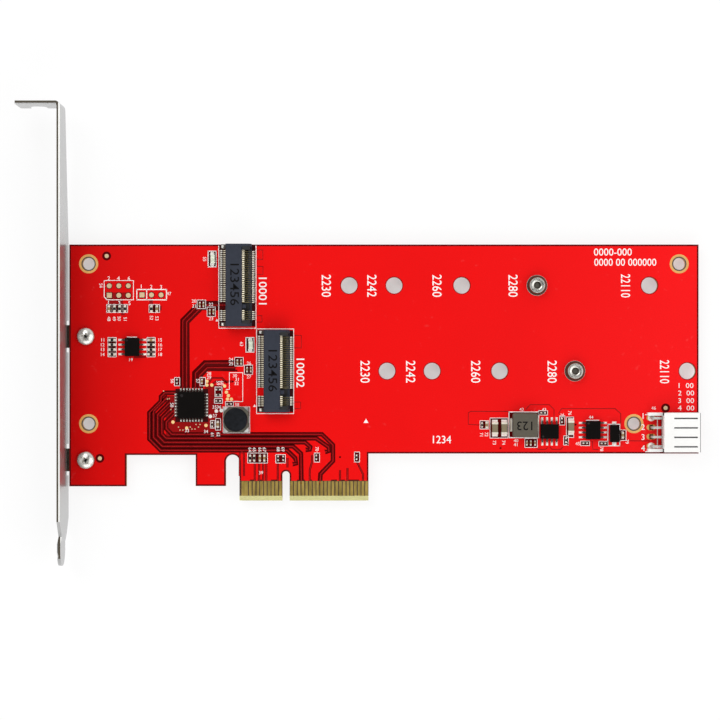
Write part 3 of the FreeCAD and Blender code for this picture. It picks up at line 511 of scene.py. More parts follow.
def copies_tree():
    """A pattern piece set down on every point, turned by the point's own angle and sized by its own scale."""
    tree, source = new_tree("copies", (("Pattern", "NodeSocketObject", None),))
    pattern = tree.nodes.new("GeometryNodeObjectInfo")
    place = tree.nodes.new("GeometryNodeInstanceOnPoints")
    wire(tree, (source, "Pattern", pattern, "Object"), (source, "Geometry", place, "Points"),
         (pattern, "Geometry", place, "Instance"))
    for label, target in (("turn", "Rotation"), ("size", "Scale")):
        own = tree.nodes.new("GeometryNodeInputNamedAttribute")
        own.data_type = "FLOAT_VECTOR"
        own.inputs["Name"].default_value = label
        wire(tree, (own, "Attribute", place, target))
    return end_tree(tree, source, place, "Instances")


def ribbon_tree():
    """A flat band along every chain of edges."""
    tree, source = new_tree("ribbons", (("Width", "NodeSocketFloat", 0.2 * MM),
                                        ("Height", "NodeSocketFloat", 0.03 * MM)))
    line = tree.nodes.new("GeometryNodeMeshToCurve")
    section = tree.nodes.new("GeometryNodeCurvePrimitiveQuadrilateral")
    sweep = tree.nodes.new("GeometryNodeCurveToMesh")
    sweep.inputs["Fill Caps"].default_value = True
    flat = tree.nodes.new("GeometryNodeSetCurveNormal")
    flat.mode = "Z_UP"
    wire(tree, (source, "Geometry", line, "Mesh"), (line, "Curve", flat, "Curve"),
         (flat, "Curve", sweep, "Curve"), (source, "Width", section, "Width"),
         (source, "Height", section, "Height"), (section, "Curve", sweep, "Profile Curve"))
    return end_tree(tree, source, sweep, "Mesh")


COPIES = copies_tree()
RIBBONS = ribbon_tree()


def grown(name, seed_mesh, tree, inputs):
    """Plain mesh that a tree makes from a seed mesh."""
    holder = new_object(name + "_seed", seed_mesh)
    modifier = holder.modifiers.new("Nodes", "NODES")
    modifier.node_group = tree
    for item in tree.interface.items_tree:
        if item.in_out == "INPUT" and item.name in inputs:
            modifier[item.identifier] = inputs[item.name]
    result = plain_mesh(holder)
    result.name = name
    bpy.data.objects.remove(holder)
    return result


def add_copies(name, shape, places, finish, slot, replaces=(), smooth=None):
    """One piece from many copies of a Shape or mesh. Places are (x, y), a turn in degrees and a scale."""
    mesh = shape.mesh(name + "_pattern") if isinstance(shape, Shape) else shape
    pattern = new_object(name + "_pattern", mesh)
    seed = bpy.data.meshes.new(name + "_points")
    seed.from_pydata([(x * MM, y * MM, 0) for x, y, *_ in places], [], [])
    turns = seed.attributes.new("turn", "FLOAT_VECTOR", "POINT")
    sizes = seed.attributes.new("size", "FLOAT_VECTOR", "POINT")
    for index, (_, _, *rest) in enumerate(places):
        turn, size = rest + [0, 1][len(rest):]
        turns.data[index].vector = (0, 0, math.radians(turn))
        sizes.data[index].vector = (size, size, size)
    mesh = grown(name, seed, COPIES, {"Pattern": pattern, "Finish": FINISH[finish]})
    bpy.data.objects.remove(pattern)
    add_piece(name, mesh, finish, replaces, smooth)


def add_ribbons(name, lines, width, top, finish, depth=0.03):
    """Flat bands along lines of (x, y) points, with their top faces at one height."""
    points = []
    edges = []
    for line in lines:
        start = len(points)
        points += [(x * MM, y * MM, (top - depth / 2) * MM) for x, y in line]
        edges += [(start + index, start + index + 1) for index in range(len(line) - 1)]
    seed = bpy.data.meshes.new(name + "_lines")
    seed.from_pydata(points, edges, [])
    mesh = grown(name, seed, RIBBONS, {"Width": width * MM, "Height": depth * MM, "Finish": FINISH[finish]})
    add_piece(name, mesh, finish)


def px(x, y):
    """Place on the board of a point of the view."""
    return ((x - VIEW_ORIGIN[0]) / VIEW_SCALE, (VIEW_ORIGIN[1] - y) / VIEW_SCALE)


def way(*points):
    return [px(x, y) for x, y in points]


def box_of(left, right, upper, lower):
    """Sides (x_low, x_high, y_low, y_high) of a box given in the view's points."""
    (x_low, y_high), (x_high, y_low) = px(left, upper), px(right, lower)
    return x_low, x_high, y_low, y_high


def patches(name, boxes, top, finish):
    """Flat patches on boxes given in the view's points: left, right, upper and lower."""
    shape = Shape()
    for box in boxes:
        shape.span(*box_of(*box), SUNK, top)
    add_shape(name, shape, finish)


def frame_of(x_low, x_high, y_low, y_high, lap):
    """Four lines around a box, two of them long enough to close the corners."""
    return [[(x_low - lap, y_low), (x_high + lap, y_low)], [(x_low - lap, y_high), (x_high + lap, y_high)],
            [(x_low, y_low), (x_low, y_high)], [(x_high, y_low), (x_high, y_high)]]


# Board: own material on the CAD node, with traces, pads and print in thin layers over it

def give(node, finish):
    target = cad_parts[node]
    target.data.materials.clear()
    target.data.materials.append(FINISH[finish])


give("circuit_board", "board")
give("bracket", "nickel")
give("edge_fingers_front", "gold")
give("edge_fingers_back", "gold")


def make_bevels():
    """Bare laminate on the slanted edge below the fingers, on both faces, and between the fingers."""
    reach, depth, skin, start = 1.3, 0.47, 0.012, 0.02
    finger_end = 5.3
    shape = Shape()
    bare = Shape()
    for left, right in FINGER_RUNS:
        for face, sign in ((0.0, -1), (BOARD_UNDER, 1)):
            near = face - sign * skin
            section = [(start, near + sign * depth * (1 - start / reach)), (reach, near),
                       (reach, face + sign * 0.05), (start, face + sign * (depth + 0.05))]
            shape.profile(section, left, right, "x")
        bare.span(left, right, reach, finger_end, SUNK, LAYER_CHANNEL)
        bare.span(left, right, reach, finger_end, BOARD_UNDER - LAYER_CHANNEL, BOARD_UNDER - SUNK)
    add_shape("edge_bevels", shape, "bevel")
    add_shape("finger_gaps", bare, "bare")


def make_board_rim():
    """Dark line just inside the board's outline, where the copper stops short of the cut edge."""
    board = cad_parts["circuit_board"]
    spots = [board.matrix_world @ vertex.co for vertex in board.data.vertices]
    steps = set()
    for face in board.data.polygons:
        ring = [(round(spots[index].x * 1e6), round(spots[index].y * 1e6)) for index in face.vertices]
        if (board.matrix_world.to_3x3() @ face.normal).z > 0.9999 and abs(spots[face.vertices[0]].z) < 2e-5:
            for step in zip(ring, ring[1:] + ring[:1]):
                if step[::-1] in steps:
                    steps.remove(step[::-1])
                else:
                    steps.add(step)
    after = dict(steps)
    loops = []
    while after:
        loop = [next(iter(after))]
        while loop[-1] in after:
            loop.append(after.pop(loop[-1]))
        loops.append(loop[:-1])
    outline = max(loops, key=lambda loop: max(x for x, _ in loop) - min(x for x, _ in loop))
    corners = [Vector(corner) / 1000 for corner in outline]
    count = len(corners)
    near, far, top = 0.01, 0.44, 0.009
    rim = Shape()
    for index in range(count):
        here = corners[index]
        come = (here - corners[index - 1]).normalized()
        go = (corners[(index + 1) % count] - here).normalized()
        inward = Vector((-come.y - go.y, come.x + go.x)) / (1 + come.dot(go))
        for reach, level in ((near, SUNK), (near, top), (far, top), (far, SUNK)):
            rim.points.append((here.x + inward.x * reach, here.y + inward.y * reach, level))
        a, b = index * 4, (index + 1) % count * 4
        for side in range(4):
            following = (side + 1) % 4
            rim.faces.append([a + side, b + side, b + following, a + following])
    add_shape("board_rim", rim, "rim")


# Copper, as points of the view: two bundles from the controller up to the module sockets
BUNDLES = (
    way((182.8, 389), (182.8, 320.5), (198.2, 305.1), (226, 305.1)),
    way((186.6, 389), (186.6, 322), (201, 307.6)),
    way((195.4, 389), (195.4, 373), (205.4, 363), (236, 363)),
    way((199.4, 389), (199.4, 375.6), (207.4, 367.6), (236, 367.6)))
# The wide clearings under the bundles, with their widths
BUNDLE_CLEARINGS = ((10.0, way((184.9, 389), (184.9, 321.2), (200.5, 305.6), (227, 305.6))),
                    (11.6, way((197.5, 388), (197.5, 374), (206, 365.6), (235.5, 365.6))))
# Loops from the controller's left side down towards the edge fingers
LOOPS = (
    way((175.5, 392.8), (164.8, 392.8), (161, 396.6), (161, 401.2), (149.4, 412.8), (149.4, 439),
        (160.7, 450.3), (287, 450.3), (295.2, 458), (296.4, 463.6), (292.6, 464)),
    way((168, 396.6), (153.4, 411.2), (153.4, 437.4), (162.3, 446.3), (293, 446.3), (301, 453.5),
        (301.3, 481)),
    way((171, 401.2), (157.6, 414.6), (157.6, 435.6), (164.3, 442.3), (305, 442.3), (310.4, 447),
        (310, 449.6), (305.6, 449.8)),
    way((174, 405.6), (161.8, 417.8), (161.8, 433.8), (166.3, 438.3), (316, 438.3), (328.6, 447),
        (329, 451), (325, 452)),
    way((174.5, 413.7), (166.2, 422), (166.2, 428.6), (171.9, 434.3), (322, 434.3), (333, 445), (333, 461),
        (320.5, 474), (320, 483)))
# Short runs above the fingers
SHORT_RUNS = (
    way((239.7, 476), (239.7, 454), (242, 451.5), (244, 454), (244, 476)),
    *(way((x, 458), (x, 481)) for x in (254.8, 259.2, 263.2, 266.3, 277.8)),
    way((312, 455), (312, 462), (309.8, 470), (309.8, 482)),
    way((357, 456), (357, 462), (363, 474), (363, 481)), way((287.5, 458), (287.5, 467.5)),
    way((340, 470), (340, 482)), way((347.5, 468), (347.5, 482)))
# Fan-out around the controller and the coil
FAN_OUT = (
    way((208, 384), (212, 378), (222, 378), (226, 382)), way((208, 388), (216, 381.5), (232, 381.5)),
    way((211, 396), (217, 396), (222, 391), (222, 386)),
    way((211, 400), (216, 400), (221, 405), (221, 432), (214, 438)),
    way((211, 404), (214, 404), (218, 408), (218, 430), (211, 436.5)),
    way((190, 425), (190, 430), (186, 433)))
# Clearings under the loops and under the small traces, in points of the view, and widths in mm
LOOP_CLEARING = 4.9
SMALL_CLEARING = 2.0
TRACE_WIDTH = 0.27
THIN_WIDTH = 0.22
# Thin clearance lines round the copper areas
THIN_CLEARINGS = (
    way((479.3, 425), (468.3, 424.3), (468.3, 412.9), (470.7, 411.4), (508.6, 411.4)),
    way((525.7, 409.3), (530, 404.7), (549.3, 404.7), (554, 409.3), (554, 416.4)),
    way((558.6, 413.6), (561.4, 408.6), (615, 408.6), (620.7, 413.6), (620.7, 424.3)),
    way((624.3, 440.7), (650, 441)),
    way((535.7, 447.1), (537.9, 449.3), (545.7, 449.3), (547.9, 447.1)),
    way((550, 447.1), (552.1, 449.3), (560.7, 449.3), (562.9, 447.1)),
    way((592.1, 440.7), (592.9, 449.3), (598.6, 449.6)),
    *(way((left, upper), (right, upper), (right, lower), (left, lower)) for left, right, upper, lower in (
        (257, 262.9, 250, 259.3), (257, 263, 266.4, 274.3), (257, 262, 315.7, 322),
        (294.3, 301.4, 335.4, 347.9), (294.3, 300.7, 402, 408.6))))
# Dark patches, as boxes in points of the view: left, right, upper, lower
CHIP_SHADOW = ((175.4, 208.2, 388.8, 422),)
FINGER_HEADS = tuple((left, right, 479.6, 481.4) for left, right in (
    (250, 254.6), (257.6, 262), (271, 277), (297, 305), (309.4, 312), (331, 337), (341, 345), (348.6, 359)))
# Dark marks beside three parts: partly darker mask where copper is missing, partly painted shadow, as the
# drop shadow below the first small chip
PART_GAPS_AND_SHADE = ((134, 146, 355.4, 358), (121, 124.8, 312, 315), (158, 161.6, 305.8, 310.4))
COPPER_SHADOWS = ((166, 176, 396, 436), (176, 205, 420, 436), (205, 222, 385, 436), (108.5, 123, 299, 305),
                  (105.5, 131, 292.5, 299), (149.5, 153, 299, 304))


def make_traces():
    """Raised traces over dark channels, with darker patches where the copper is missing and patches of
    painted shade round the chips and parts.
    """
    small = SHORT_RUNS + FAN_OUT
    channels = [(width, [line]) for width, line in BUNDLE_CLEARINGS]
    channels += [(LOOP_CLEARING, LOOPS), (SMALL_CLEARING, small)]
    for index, (width, lines) in enumerate(channels):
        add_ribbons(f"copper_gap_{index}", lines, width / VIEW_SCALE, LAYER_CHANNEL - LAYER_STEP * index,
                    "channel")
    patches("chip_shadow", CHIP_SHADOW, LAYER_TRACE - 0.003, "maroon")
    patches("finger_heads", FINGER_HEADS, LAYER_CHANNEL - 0.002, "channel")
    patches("part_gaps", PART_GAPS_AND_SHADE, LAYER_TRACE - 0.003, "faint")
    patches("copper_shadows", COPPER_SHADOWS, LAYER_CHANNEL - 0.004, "faint")
    add_ribbons("copper_traces", BUNDLES + LOOPS + small, TRACE_WIDTH, LAYER_TRACE, "trace")
    add_ribbons("copper_clearances", THIN_CLEARINGS, THIN_WIDTH, LAYER_CHANNEL, "faint")


PLACING_MARKS = ((-47.78, 65.18), (-49.59, 11.27), (101.15, 24.70))


def band(inner, outer, low, high):
    """Section of a flat ring."""
    return [(inner, low), (outer, low), (outer, high), (inner, high)]


def make_plated_rings():
    """Plated rings of the mounting holes, the marks for placing machines and the rims of the module holes."""
    bore, bore_top, edge, lip = 1.60, 1.65, 2.55, 1.93
    rings = Shape()
    lips = Shape()
    for x, y in PLATED_HOLES:
        under = BOARD_UNDER - 0.03
        rings.turned(x, y, [(bore, under), (edge, under), (edge, BOARD_UNDER + 0.02),
                            (bore_top, BOARD_UNDER + 0.02), (bore_top, SUNK), (edge, SUNK), (edge, 0.03),
                            (bore, 0.03)])
        lips.turned(x, y, band(bore - 0.01, lip, SUNK, 0.034))
    add_shape("plated_rings", rings, "ring", smooth=40)
    add_shape("ring_lips", lips, "olive", smooth=40)
    marks = Shape()
    clear = Shape()
    for x, y in PLACING_MARKS:
        clear.disc(x, y, SUNK, LAYER_CHANNEL, 1.18)
        marks.disc(x, y, SUNK, LAYER_PAD, 0.55, 20)
    add_shape("mark_clearings", clear, "channel")
    add_shape("placing_marks", marks, "tan")
    rims = Shape()
    for row_x, row_y in ROWS.values():
        for length in MODULE_LENGTHS:
            rims.turned(row_x + length, row_y, band(2.19, 2.40, SUNK, LAYER_CHANNEL))
    add_shape("hole_rims", rims, "faint", smooth=40)


TEST_POINTS = (
    (-21.08, 31.79), (-21.1, 30.78), (-19.77, 30.8), (-16.36, 30.54), (-15.86, 28.89), (-15.35, 27.98),
    (-15.59, 27.05), (-14.55, 27.02), (-30.11, 20.94), (-26.46, 19.35), (-21.32, 20.04))
TINNED_POINTS = ((-18.55, 23.85), (-17.24, 24.01), (-20.15, 22.44))
# Vias at the ends of the traces, and bare via rings by the controller, as points of the view
VIAS = (
    (296.3, 462.5), (308.4, 449.2), (327.6, 451), (320, 484), (301.3, 483), (186, 433.5), (206, 436.5),
    (214, 438.5), (211, 437), (236.5, 366), (236.5, 370.5), (232.8, 381.5), (226.5, 382.5), (575.5, 424.5),
    (616, 441), (500.5, 448), (340, 457))
SMALL_RINGS = (
    (178.5, 427), (180, 430), (183, 430), (190.3, 427), (192, 429), (195, 429), (196, 424.5), (198.5, 427),
    (200, 424.5), (167.5, 399), (169.3, 398.6), (163.7, 391), (171, 409.5))


def make_vias():
    dot = Shape().disc(0, 0, SUNK, LAYER_PAD, 0.45, 16)
    add_copies("test_points", dot, TEST_POINTS, "pale_gold", "contact_gold")
    add_copies("tinned_points", dot, [(x, y, 0, 1.1) for x, y in TINNED_POINTS], "solder", "tinned_lead")
    via = Shape().disc(0, 0, SUNK, LAYER_PAD - 0.002, 0.26, 12)
    add_copies("vias", via, way(*VIAS), "channel", "board_red")
    ring = Shape().disc(0, 0, SUNK, LAYER_PAD, 0.17, 10)
    add_copies("small_rings", ring, way(*SMALL_RINGS), "tan", "contact_gold")


make_bevels()
make_board_rim()
make_traces()
make_plated_rings()
make_vias()

# Where the soldered chip parts lie: size, axis of their length and centres
CHIP_PARTS = {
    "small_capacitors": (
        ("small", "Y", ((-47.14, 51.11), (-34.37, 51.11))),
        ("small", "X", ((-35.92, 42.80),)),
        ("tiny", "Y", ((-22.95, 52.26), (-21.97, 52.26), (-20.29, 50.36), (-19.31, 50.36))),
        ("tiny", "Y", ((-12.93, 36.96), (-11.95, 36.96), (-10.35, 34.91), (-9.37, 34.91))),
        ("tiny", "Y", ((-22.38, 31.76),)),
        ("mid", "Y", ((-6.95, 11.34), (-5.76, 11.34))),
        ("small", "Y", ((-18.15, 20.33), (53.48, 20.17), (89.67, 17.48))),
        ("tiny", "Y", ((64.19, 15.38), (65.21, 15.38), (66.35, 15.38))),
    ),
    "resistors": (
        ("small", "Y", ((-45.67, 51.11), (-44.29, 51.11), (-42.87, 51.11), (-35.84, 51.11))),
        ("small", "X", ((-46.31, 42.80), (-46.31, 41.57), (-46.31, 40.26), (-46.31, 38.99))),
        ("small", "X", ((-35.92, 41.57), (-35.92, 40.26), (-35.92, 38.99))),
        ("tiny", "Y", ((-29.07, 31.76), (-19.64, 20.28))),
        ("mid", "Y", ((-9.57, 11.34), (-8.47, 11.34))),
        ("tiny", "X", ((-18.07, 29.58), (-18.07, 28.17), (-18.07, 26.57), (-15.16, 25.74))),
        ("tiny", "Y", ((-2.11, 11.3), (-0.75, 11.3), (8.07, 11.56), (18.81, 11.56))),
        ("tiny", "Y", ((52.23, 20.17), (73.49, 21.4), (74.6, 16.1))),
        ("tiny", "X", ((68.51, 23.4), (79.73, 15.32), (84.58, 15.27))),
    ),
    "large_capacitors": (("large", "Y", ((55.64, 19.32), (58.12, 19.35), (75.9, 19.72))),),
}
# Length, width, height, length of a metal end, reach of its solder, and the shares of the width they take
CHIP_SIZES = {"tiny": (1.0, 0.5, 0.5, 0.22, 0.2, 0.86, 0.76), "mid": (1.4, 0.66, 0.6, 0.32, 0.22, 0.86, 0.76),
              "small": (1.5, 0.8, 0.75, 0.38, 0.24, 0.86, 0.76),
              "large": (3.2, 1.6, 1.5, 0.55, 0.62, 1.0, 0.92)}
CHIP_LOOKS = {"small_capacitors": ("cream", "ceramic_cream"), "resistors": ("glass", "chip_black"),
              "large_capacitors": ("brown", "ceramic_brown")}


def make_chip_parts():
    """Ceramic bodies, one piece for a group, with wrapped metal ends and a fillet of solder at each end."""
    caps = Shape()
    fillets = Shape()
    for group, layout in CHIP_PARTS.items():
        flat = group == "resistors"
        bodies = Shape()
        bases = Shape()
        for kind, along, places in layout:
            length, width, height, cap, run, cap_share, fillet_share = CHIP_SIZES[kind]
            inner = length - 2 * cap
            top = height * 0.72 if flat else height
            for x, y in places:
                def put(shape, offset, low, high, reach, breadth, crown=0.0):
                    if along == "X":
                        shape.box(x + offset, y, low, high, reach, breadth, crown)
                    else:
                        shape.box(x, y + offset, low, high, breadth, reach, crown)
                if flat:
                    put(bases, 0, 0.02, height * 0.62, inner, width * 0.96)
                    put(bodies, 0, height * 0.62, height * 0.70, inner, width * 0.90, 0.02)
                else:
                    put(bodies, 0, 0.02, height * 0.96, inner, width * 0.94, 0.05)
                centre, across = (x, y) if along == "X" else (y, x)
                half = width * fillet_share / 2
                for sign in (-1, 1):
                    put(caps, sign * (length - cap) / 2, 0.0, top, cap, width * cap_share, 0.04)
                    end = sign * length / 2
                    toe = end + sign * run
                    rise = top * 0.55
                    section = [(end, SUNK), (toe, SUNK), (toe, 0.04), (end + sign * run * 0.35, rise * 0.45),
                               (end, rise)]
                    fillets.profile([(centre + reach, level) for reach, level in section],
                                    across - half, across + half, "y" if along == "X" else "x")
        finish, slot = CHIP_LOOKS[group]
        add_shape(group + "_bodies", bodies, finish, (group,))
        if flat:
            add_shape("resistor_bases", bases, "alumina")
    add_shape("chip_part_ends", caps, "end")
    add_shape("chip_part_solder", fillets, "solder", smooth=50)


make_chip_parts()


# Module sockets: U runs from the socket's row line towards the module, V along the row of contacts

KEY_MISSING = range(12, 20)
CONTACT_COUNT = 75
CONTACT_STEP = 0.25
FIRST_CONTACT = -9.25
SOCKET_HALF = 10.945
SOCKET_BACK = -2.75
SOCKET_FRONT = 4.1
ROOF_UNDER = 3.05
ROOF_TOP = 4.2
CONTACT_HALF = 0.10
# Sections of a socket's parts, as (U, height)
ROOF = (
    (SOCKET_BACK, ROOF_UNDER), (-1.3, ROOF_UNDER), (-1.3, 3.45), (1.65, 3.45), (1.65, 3.98),
    (1.42, ROOF_TOP), (-2.55, ROOF_TOP), (SOCKET_BACK, 4.0))
END_ARM = (
    (SOCKET_BACK, 0.0), (SOCKET_FRONT, 0.0), (SOCKET_FRONT, 3.1), (3.0, ROOF_TOP), (-2.6, ROOF_TOP),
    (SOCKET_BACK, 4.05))
REAR_FOOT = ((-4.43, 0), (-3.35, 0), (-2.78, 0.32), (-2.80, 0.52), (-3.47, 0.15), (-4.43, 0.15))
REAR_BLADE = ((-1.2, 3.2), (1.55, 3.26), (2.22, 2.92), (2.22, 3.06), (1.6, 3.40), (-1.2, 3.34))
FRONT_FOOT = ((4.95, 0), (4.95, 0.15), (4.35, 0.15), (4.2, 0.5), (4.12, 0.5), (4.12, 0.3), (4.22, 0.0))
FRONT_BEAM = (
    (4.1, 0.3), (3.5, 0.75), (2.75, 1.15), (0.9, 2.40), (0.6, 2.28), (0.6, 2.14), (0.9, 2.26), (2.7, 1.0),
    (3.4, 0.6), (4.0, 0.2))
ANCHOR_TAB = (
    (-4.2, 0), (SOCKET_BACK, 0), (SOCKET_BACK, 1.5), (-2.9, 1.5), (-2.9, 0.3), (-3.1, 0.16), (-4.2, 0.15))
REAR_SOLDER = ((-4.48, SUNK), (-3.82, SUNK), (-3.82, 0.22), (-3.88, 0.30), (-4.48, 0.02))
FRONT_SOLDER = ((4.12, SUNK), (4.78, SUNK), (4.78, 0.02), (4.18, 0.30), (4.12, 0.22))


def contact_rows(first):
    """V of every second contact from the first number on, without those that the key takes."""
    numbers = (number for number in range(first, CONTACT_COUNT + 1, 2) if number not in KEY_MISSING)
    return [(number - 1) * CONTACT_STEP + FIRST_CONTACT for number in numbers]


def make_socket(row):
    row_x, row_y = ROWS[row]
    label = f"module_socket_{row}"
    upper, lower = contact_rows(1), contact_rows(2)

    def along(section, v_low, v_high, shape):
        shape.profile([(row_x + u, level) for u, level in section], row_y + v_low, row_y + v_high, "y")

    def block(shape, u_low, u_high, v_low, v_high, low, high):
        shape.span(row_x + u_low, row_x + u_high, row_y + v_low, row_y + v_high, low, high)

    def repeat(part, shape, rows, *looks):
        add_copies(f"{label}_{part}", shape, [(row_x, row_y + v) for v in rows], *looks)

    # Roof with a stepped rear edge, rear wall, stop wall, end arms, key rib and the low lip in front
    inside = SOCKET_HALF - 0.85
    housing = Shape()
    along(ROOF, -inside, inside, housing)
    block(housing, -2.45, -1.3, -inside, inside, 0.35, ROOF_UNDER + 0.01)
    block(housing, -0.9, -0.15, -inside, inside, 0.0, ROOF_UNDER)
    along(END_ARM, -SOCKET_HALF, 0.87 - SOCKET_HALF, housing)
    along(END_ARM, SOCKET_HALF - 0.87, SOCKET_HALF, housing)
    block(housing, -0.9, 2.6, -6.125, -5.125, 0.2, 3.6)
    block(housing, 3.4, SOCKET_FRONT, -inside, inside, 0.0, 0.5)
    add_shape(label + "_moulding", housing, "slate", (label + "_housing",), bevel=0.06)
    repeat("front_ribs", Shape().box(3.66, 0, 0.4, 2.2, 0.88, 0.24), contact_rows(1), "slate", "socket_slate")
    repeat("rear_ribs", Shape().box(-2.62, 0, 0.35, 3.1, 0.30, 0.22), lower, "slate", "socket_slate")
    # Painted shade: a near-black floor in the mouth and near-black blocks at its two ends
    shade_blocks = Shape()
    block(shade_blocks, -0.2, 3.4, -inside, inside, 0.0, 0.85)
    for v_low in (-10.28, 9.31):
        block(shade_blocks, 1.68, 3.7, v_low, v_low + 1.0, 0.3, ROOF_TOP + 0.016)
    add_shape(label + "_dark_blocks", shade_blocks, "slate_dark", bevel=0.05)

    # Rear contacts: foot on the board, bend up the wall, blade under the roof that ends in a gold tip
    rear = Shape().profile(REAR_FOOT, -CONTACT_HALF, CONTACT_HALF)
    rear.profile(REAR_BLADE, -CONTACT_HALF, CONTACT_HALF)
    repeat("rear_contacts", rear, upper, "contact_gold", "contact_gold", (label + "_upper_contacts",))
    # Front contacts: foot, bend and a beam that rises between the ribs to its bowed tip
    foot = Shape().profile(FRONT_FOOT, -CONTACT_HALF, CONTACT_HALF)
    repeat("front_feet", foot, lower, "contact_gold", "contact_gold", (label + "_lower_contacts",))
    beam = Shape().profile(FRONT_BEAM, -CONTACT_HALF, CONTACT_HALF)
    repeat("front_beams", beam, lower, "bronze", "contact_gold")

    # Anchor tabs in the same near-black metal, painted shade
    tabs = Shape()
    along(ANCHOR_TAB, -SOCKET_HALF, 1.1 - SOCKET_HALF, tabs)
    along(ANCHOR_TAB, SOCKET_HALF - 1.1, SOCKET_HALF, tabs)
    add_shape(label + "_tabs", tabs, "shoulder", (label + "_anchor_tabs",), bevel=0.02)
    solder = Shape()
    for section, rows in ((REAR_SOLDER, upper), (FRONT_SOLDER, lower)):
        for v in rows:
            along(section, v - 0.14, v + 0.14, solder)
    add_shape(label + "_solder", solder, "solder")
    blobs = Shape()
    for sign in (-1, 1):
        blobs.mound(row_x - 3.7, row_y + sign * 10.35, 0.9, 1.1, 0.40)
    add_shape(label + "_tab_solder", blobs, "solder", smooth=60)
    # Dark mask under both contact rows: bare laminate between the pads, darkened further as painted shade
    shadows = Shape()
    for v_low, v_high in ((-10.9, -6.7), (-4.4, 10.8)):
        block(shadows, -4.6, -2.7, v_low, v_high, SUNK, LAYER_TRACE)
    block(shadows, 3.6, 5.0, -10.9, 10.8, SUNK, LAYER_TRACE)
    add_shape(label + "_pads", shadows, "maroon")


for socket_row in ROWS:
    make_socket(socket_row)


# Standoff nuts: sections of a collar as (radius, height), from the board's underside to the countersunk top;
# the sloped waist is dark with painted shade
NUT_BORE = 0.80
NUT_PARTS = (
    ("flange", "standoff", ((NUT_BORE, BOARD_UNDER), (2.10, BOARD_UNDER), (2.10, 0.0), (2.75, 0.0),
                            (2.75, 0.36), (2.62, 0.46), (NUT_BORE, 0.46))),
    ("waist", "waist_shade", ((NUT_BORE, 0.45), (2.69, 0.45), (2.66, 0.48), (2.45, 0.50), (2.32, 1.6), (2.02, 2.33),
                        (NUT_BORE, 2.33))),
    ("land", "standoff", ((NUT_BORE, 2.32), (2.03, 2.32), (1.88, 2.43), (1.55, 2.45), (1.20, 2.40),
                          (0.95, 2.32), (NUT_BORE, 2.20))))


def make_standoffs():
    places = [(x + STANDOFF_LENGTH, y) for x, y in ROWS.values()]
    for part, finish, section in NUT_PARTS:
        add_copies(f"standoff_{part}", Shape().turned(0, 0, section, 48), places, finish, "standoff_tin",
                   ("module_standoffs",) if part == "flange" else (), smooth=32)
    thread = Shape()
    for turn in range(9):
        z = -1.3 + turn * 0.4
        thread.turned(0, 0, [(NUT_BORE, z - 0.1), (NUT_BORE, z + 0.1), (0.70, z)], 24)
    add_copies("standoff_threads", thread, places, "dark_hole", "standoff_tin", smooth=30)
    bottom = Shape().disc(0, 0, 1.35, 1.5, 0.82, 24)
    add_copies("standoff_bottoms", bottom, places, "drum", "standoff_tin")


SCREW_HEAD = 2.375
SCREW_TOP = 1.6
SCREW_RIM = 0.55
SCREW_TURNS = (28, -12)


def make_screws():
    """Pan heads with a cross recess, over a threaded shank."""
    dome = 7
    profile = [(1.05, -3.13), (1.2, -2.9), (1.2, 0.0), (SCREW_HEAD, 0.0), (SCREW_HEAD, SCREW_RIM)]
    for index in range(1, dome):
        angle = math.pi / 2 * index / dome
        profile.append((SCREW_HEAD * math.cos(angle), SCREW_RIM + (SCREW_TOP - SCREW_RIM) * math.sin(angle)))
    sides = 40
    count = len(profile)
    screw = Shape()
    for step in range(sides):
        angle = math.tau * step / sides
        for radius, height in profile:
            screw.points.append((radius * math.cos(angle), radius * math.sin(angle), height))
    bottom = len(screw.points)
    screw.points += [(0, 0, profile[0][1]), (0, 0, SCREW_TOP)]
    for step in range(sides):
        here = step * count
        there = (step + 1) % sides * count
        screw.faces.append([bottom, there, here])
        for index in range(count - 1):
            screw.faces.append([here + index, there + index, there + index + 1, here + index + 1])
        screw.faces.append([here + count - 1, there + count - 1, bottom + 1])
    solid = new_object("screw_solid", screw.mesh("screw_solid"))
    cross = Shape()
    # Boxes of painted shade at the bottom of the cross recess
    shade_blocks = Shape()
    arm = [(-1.25, 1.9), (-0.28, SCREW_RIM), (0.28, SCREW_RIM), (1.25, 1.9)]
    for axis, top, length, width in (("y", 0.581, 0.56, 0.40), ("x", 0.58, 0.40, 0.56)):
        cross.profile(arm, -0.21, 0.21, axis)
        shade_blocks.box(0, 0, 0.54, top, length, width)
    cutter = new_object("screw_cut", cross.mesh("screw_cut"))
    cut = solid.modifiers.new("Cut", "BOOLEAN")
    cut.operation = "DIFFERENCE"
    cut.solver = "EXACT"
    cut.use_self = True
    cut.object = cutter
    head = plain_mesh(solid)
    bpy.data.objects.remove(cutter)
    bpy.data.objects.remove(solid)
    places = [(*place, turn) for place, turn in zip(SCREW_PLACES, SCREW_TURNS)]
    add_copies("bracket_screw_heads", head, places, "screw", "screw_nickel", ("bracket_screws",), smooth=32)
    add_copies("screw_recess_floors", shade_blocks, places, "dark_hole", "screw_nickel")


make_standoffs()
make_screws()


# Chips

SMALL_CHIPS = ((-40.93, 40.93, 0), (70.19, 18.44, 90), (81.78, 18.81, 0))
CONTROLLER = (-25.21, 25.5)


def gull_lead(inner, outer, foot, rise, thickness, width):
    """Lead that leaves a chip's side, bends down and lies flat on its pad."""
    knee = outer - foot
    shoulder = inner + (knee - inner) * 0.45
    section = [(inner - 0.1, rise), (shoulder, rise), (knee - 0.05, 0.02), (knee + 0.08, 0.0), (outer, 0.0),
               (outer, thickness), (knee + 0.10, thickness), (knee + 0.02, thickness + 0.04),
               (shoulder + 0.06, rise + thickness), (inner - 0.1, rise + thickness)]
    return Shape().profile(section, -width / 2, width / 2, "y")


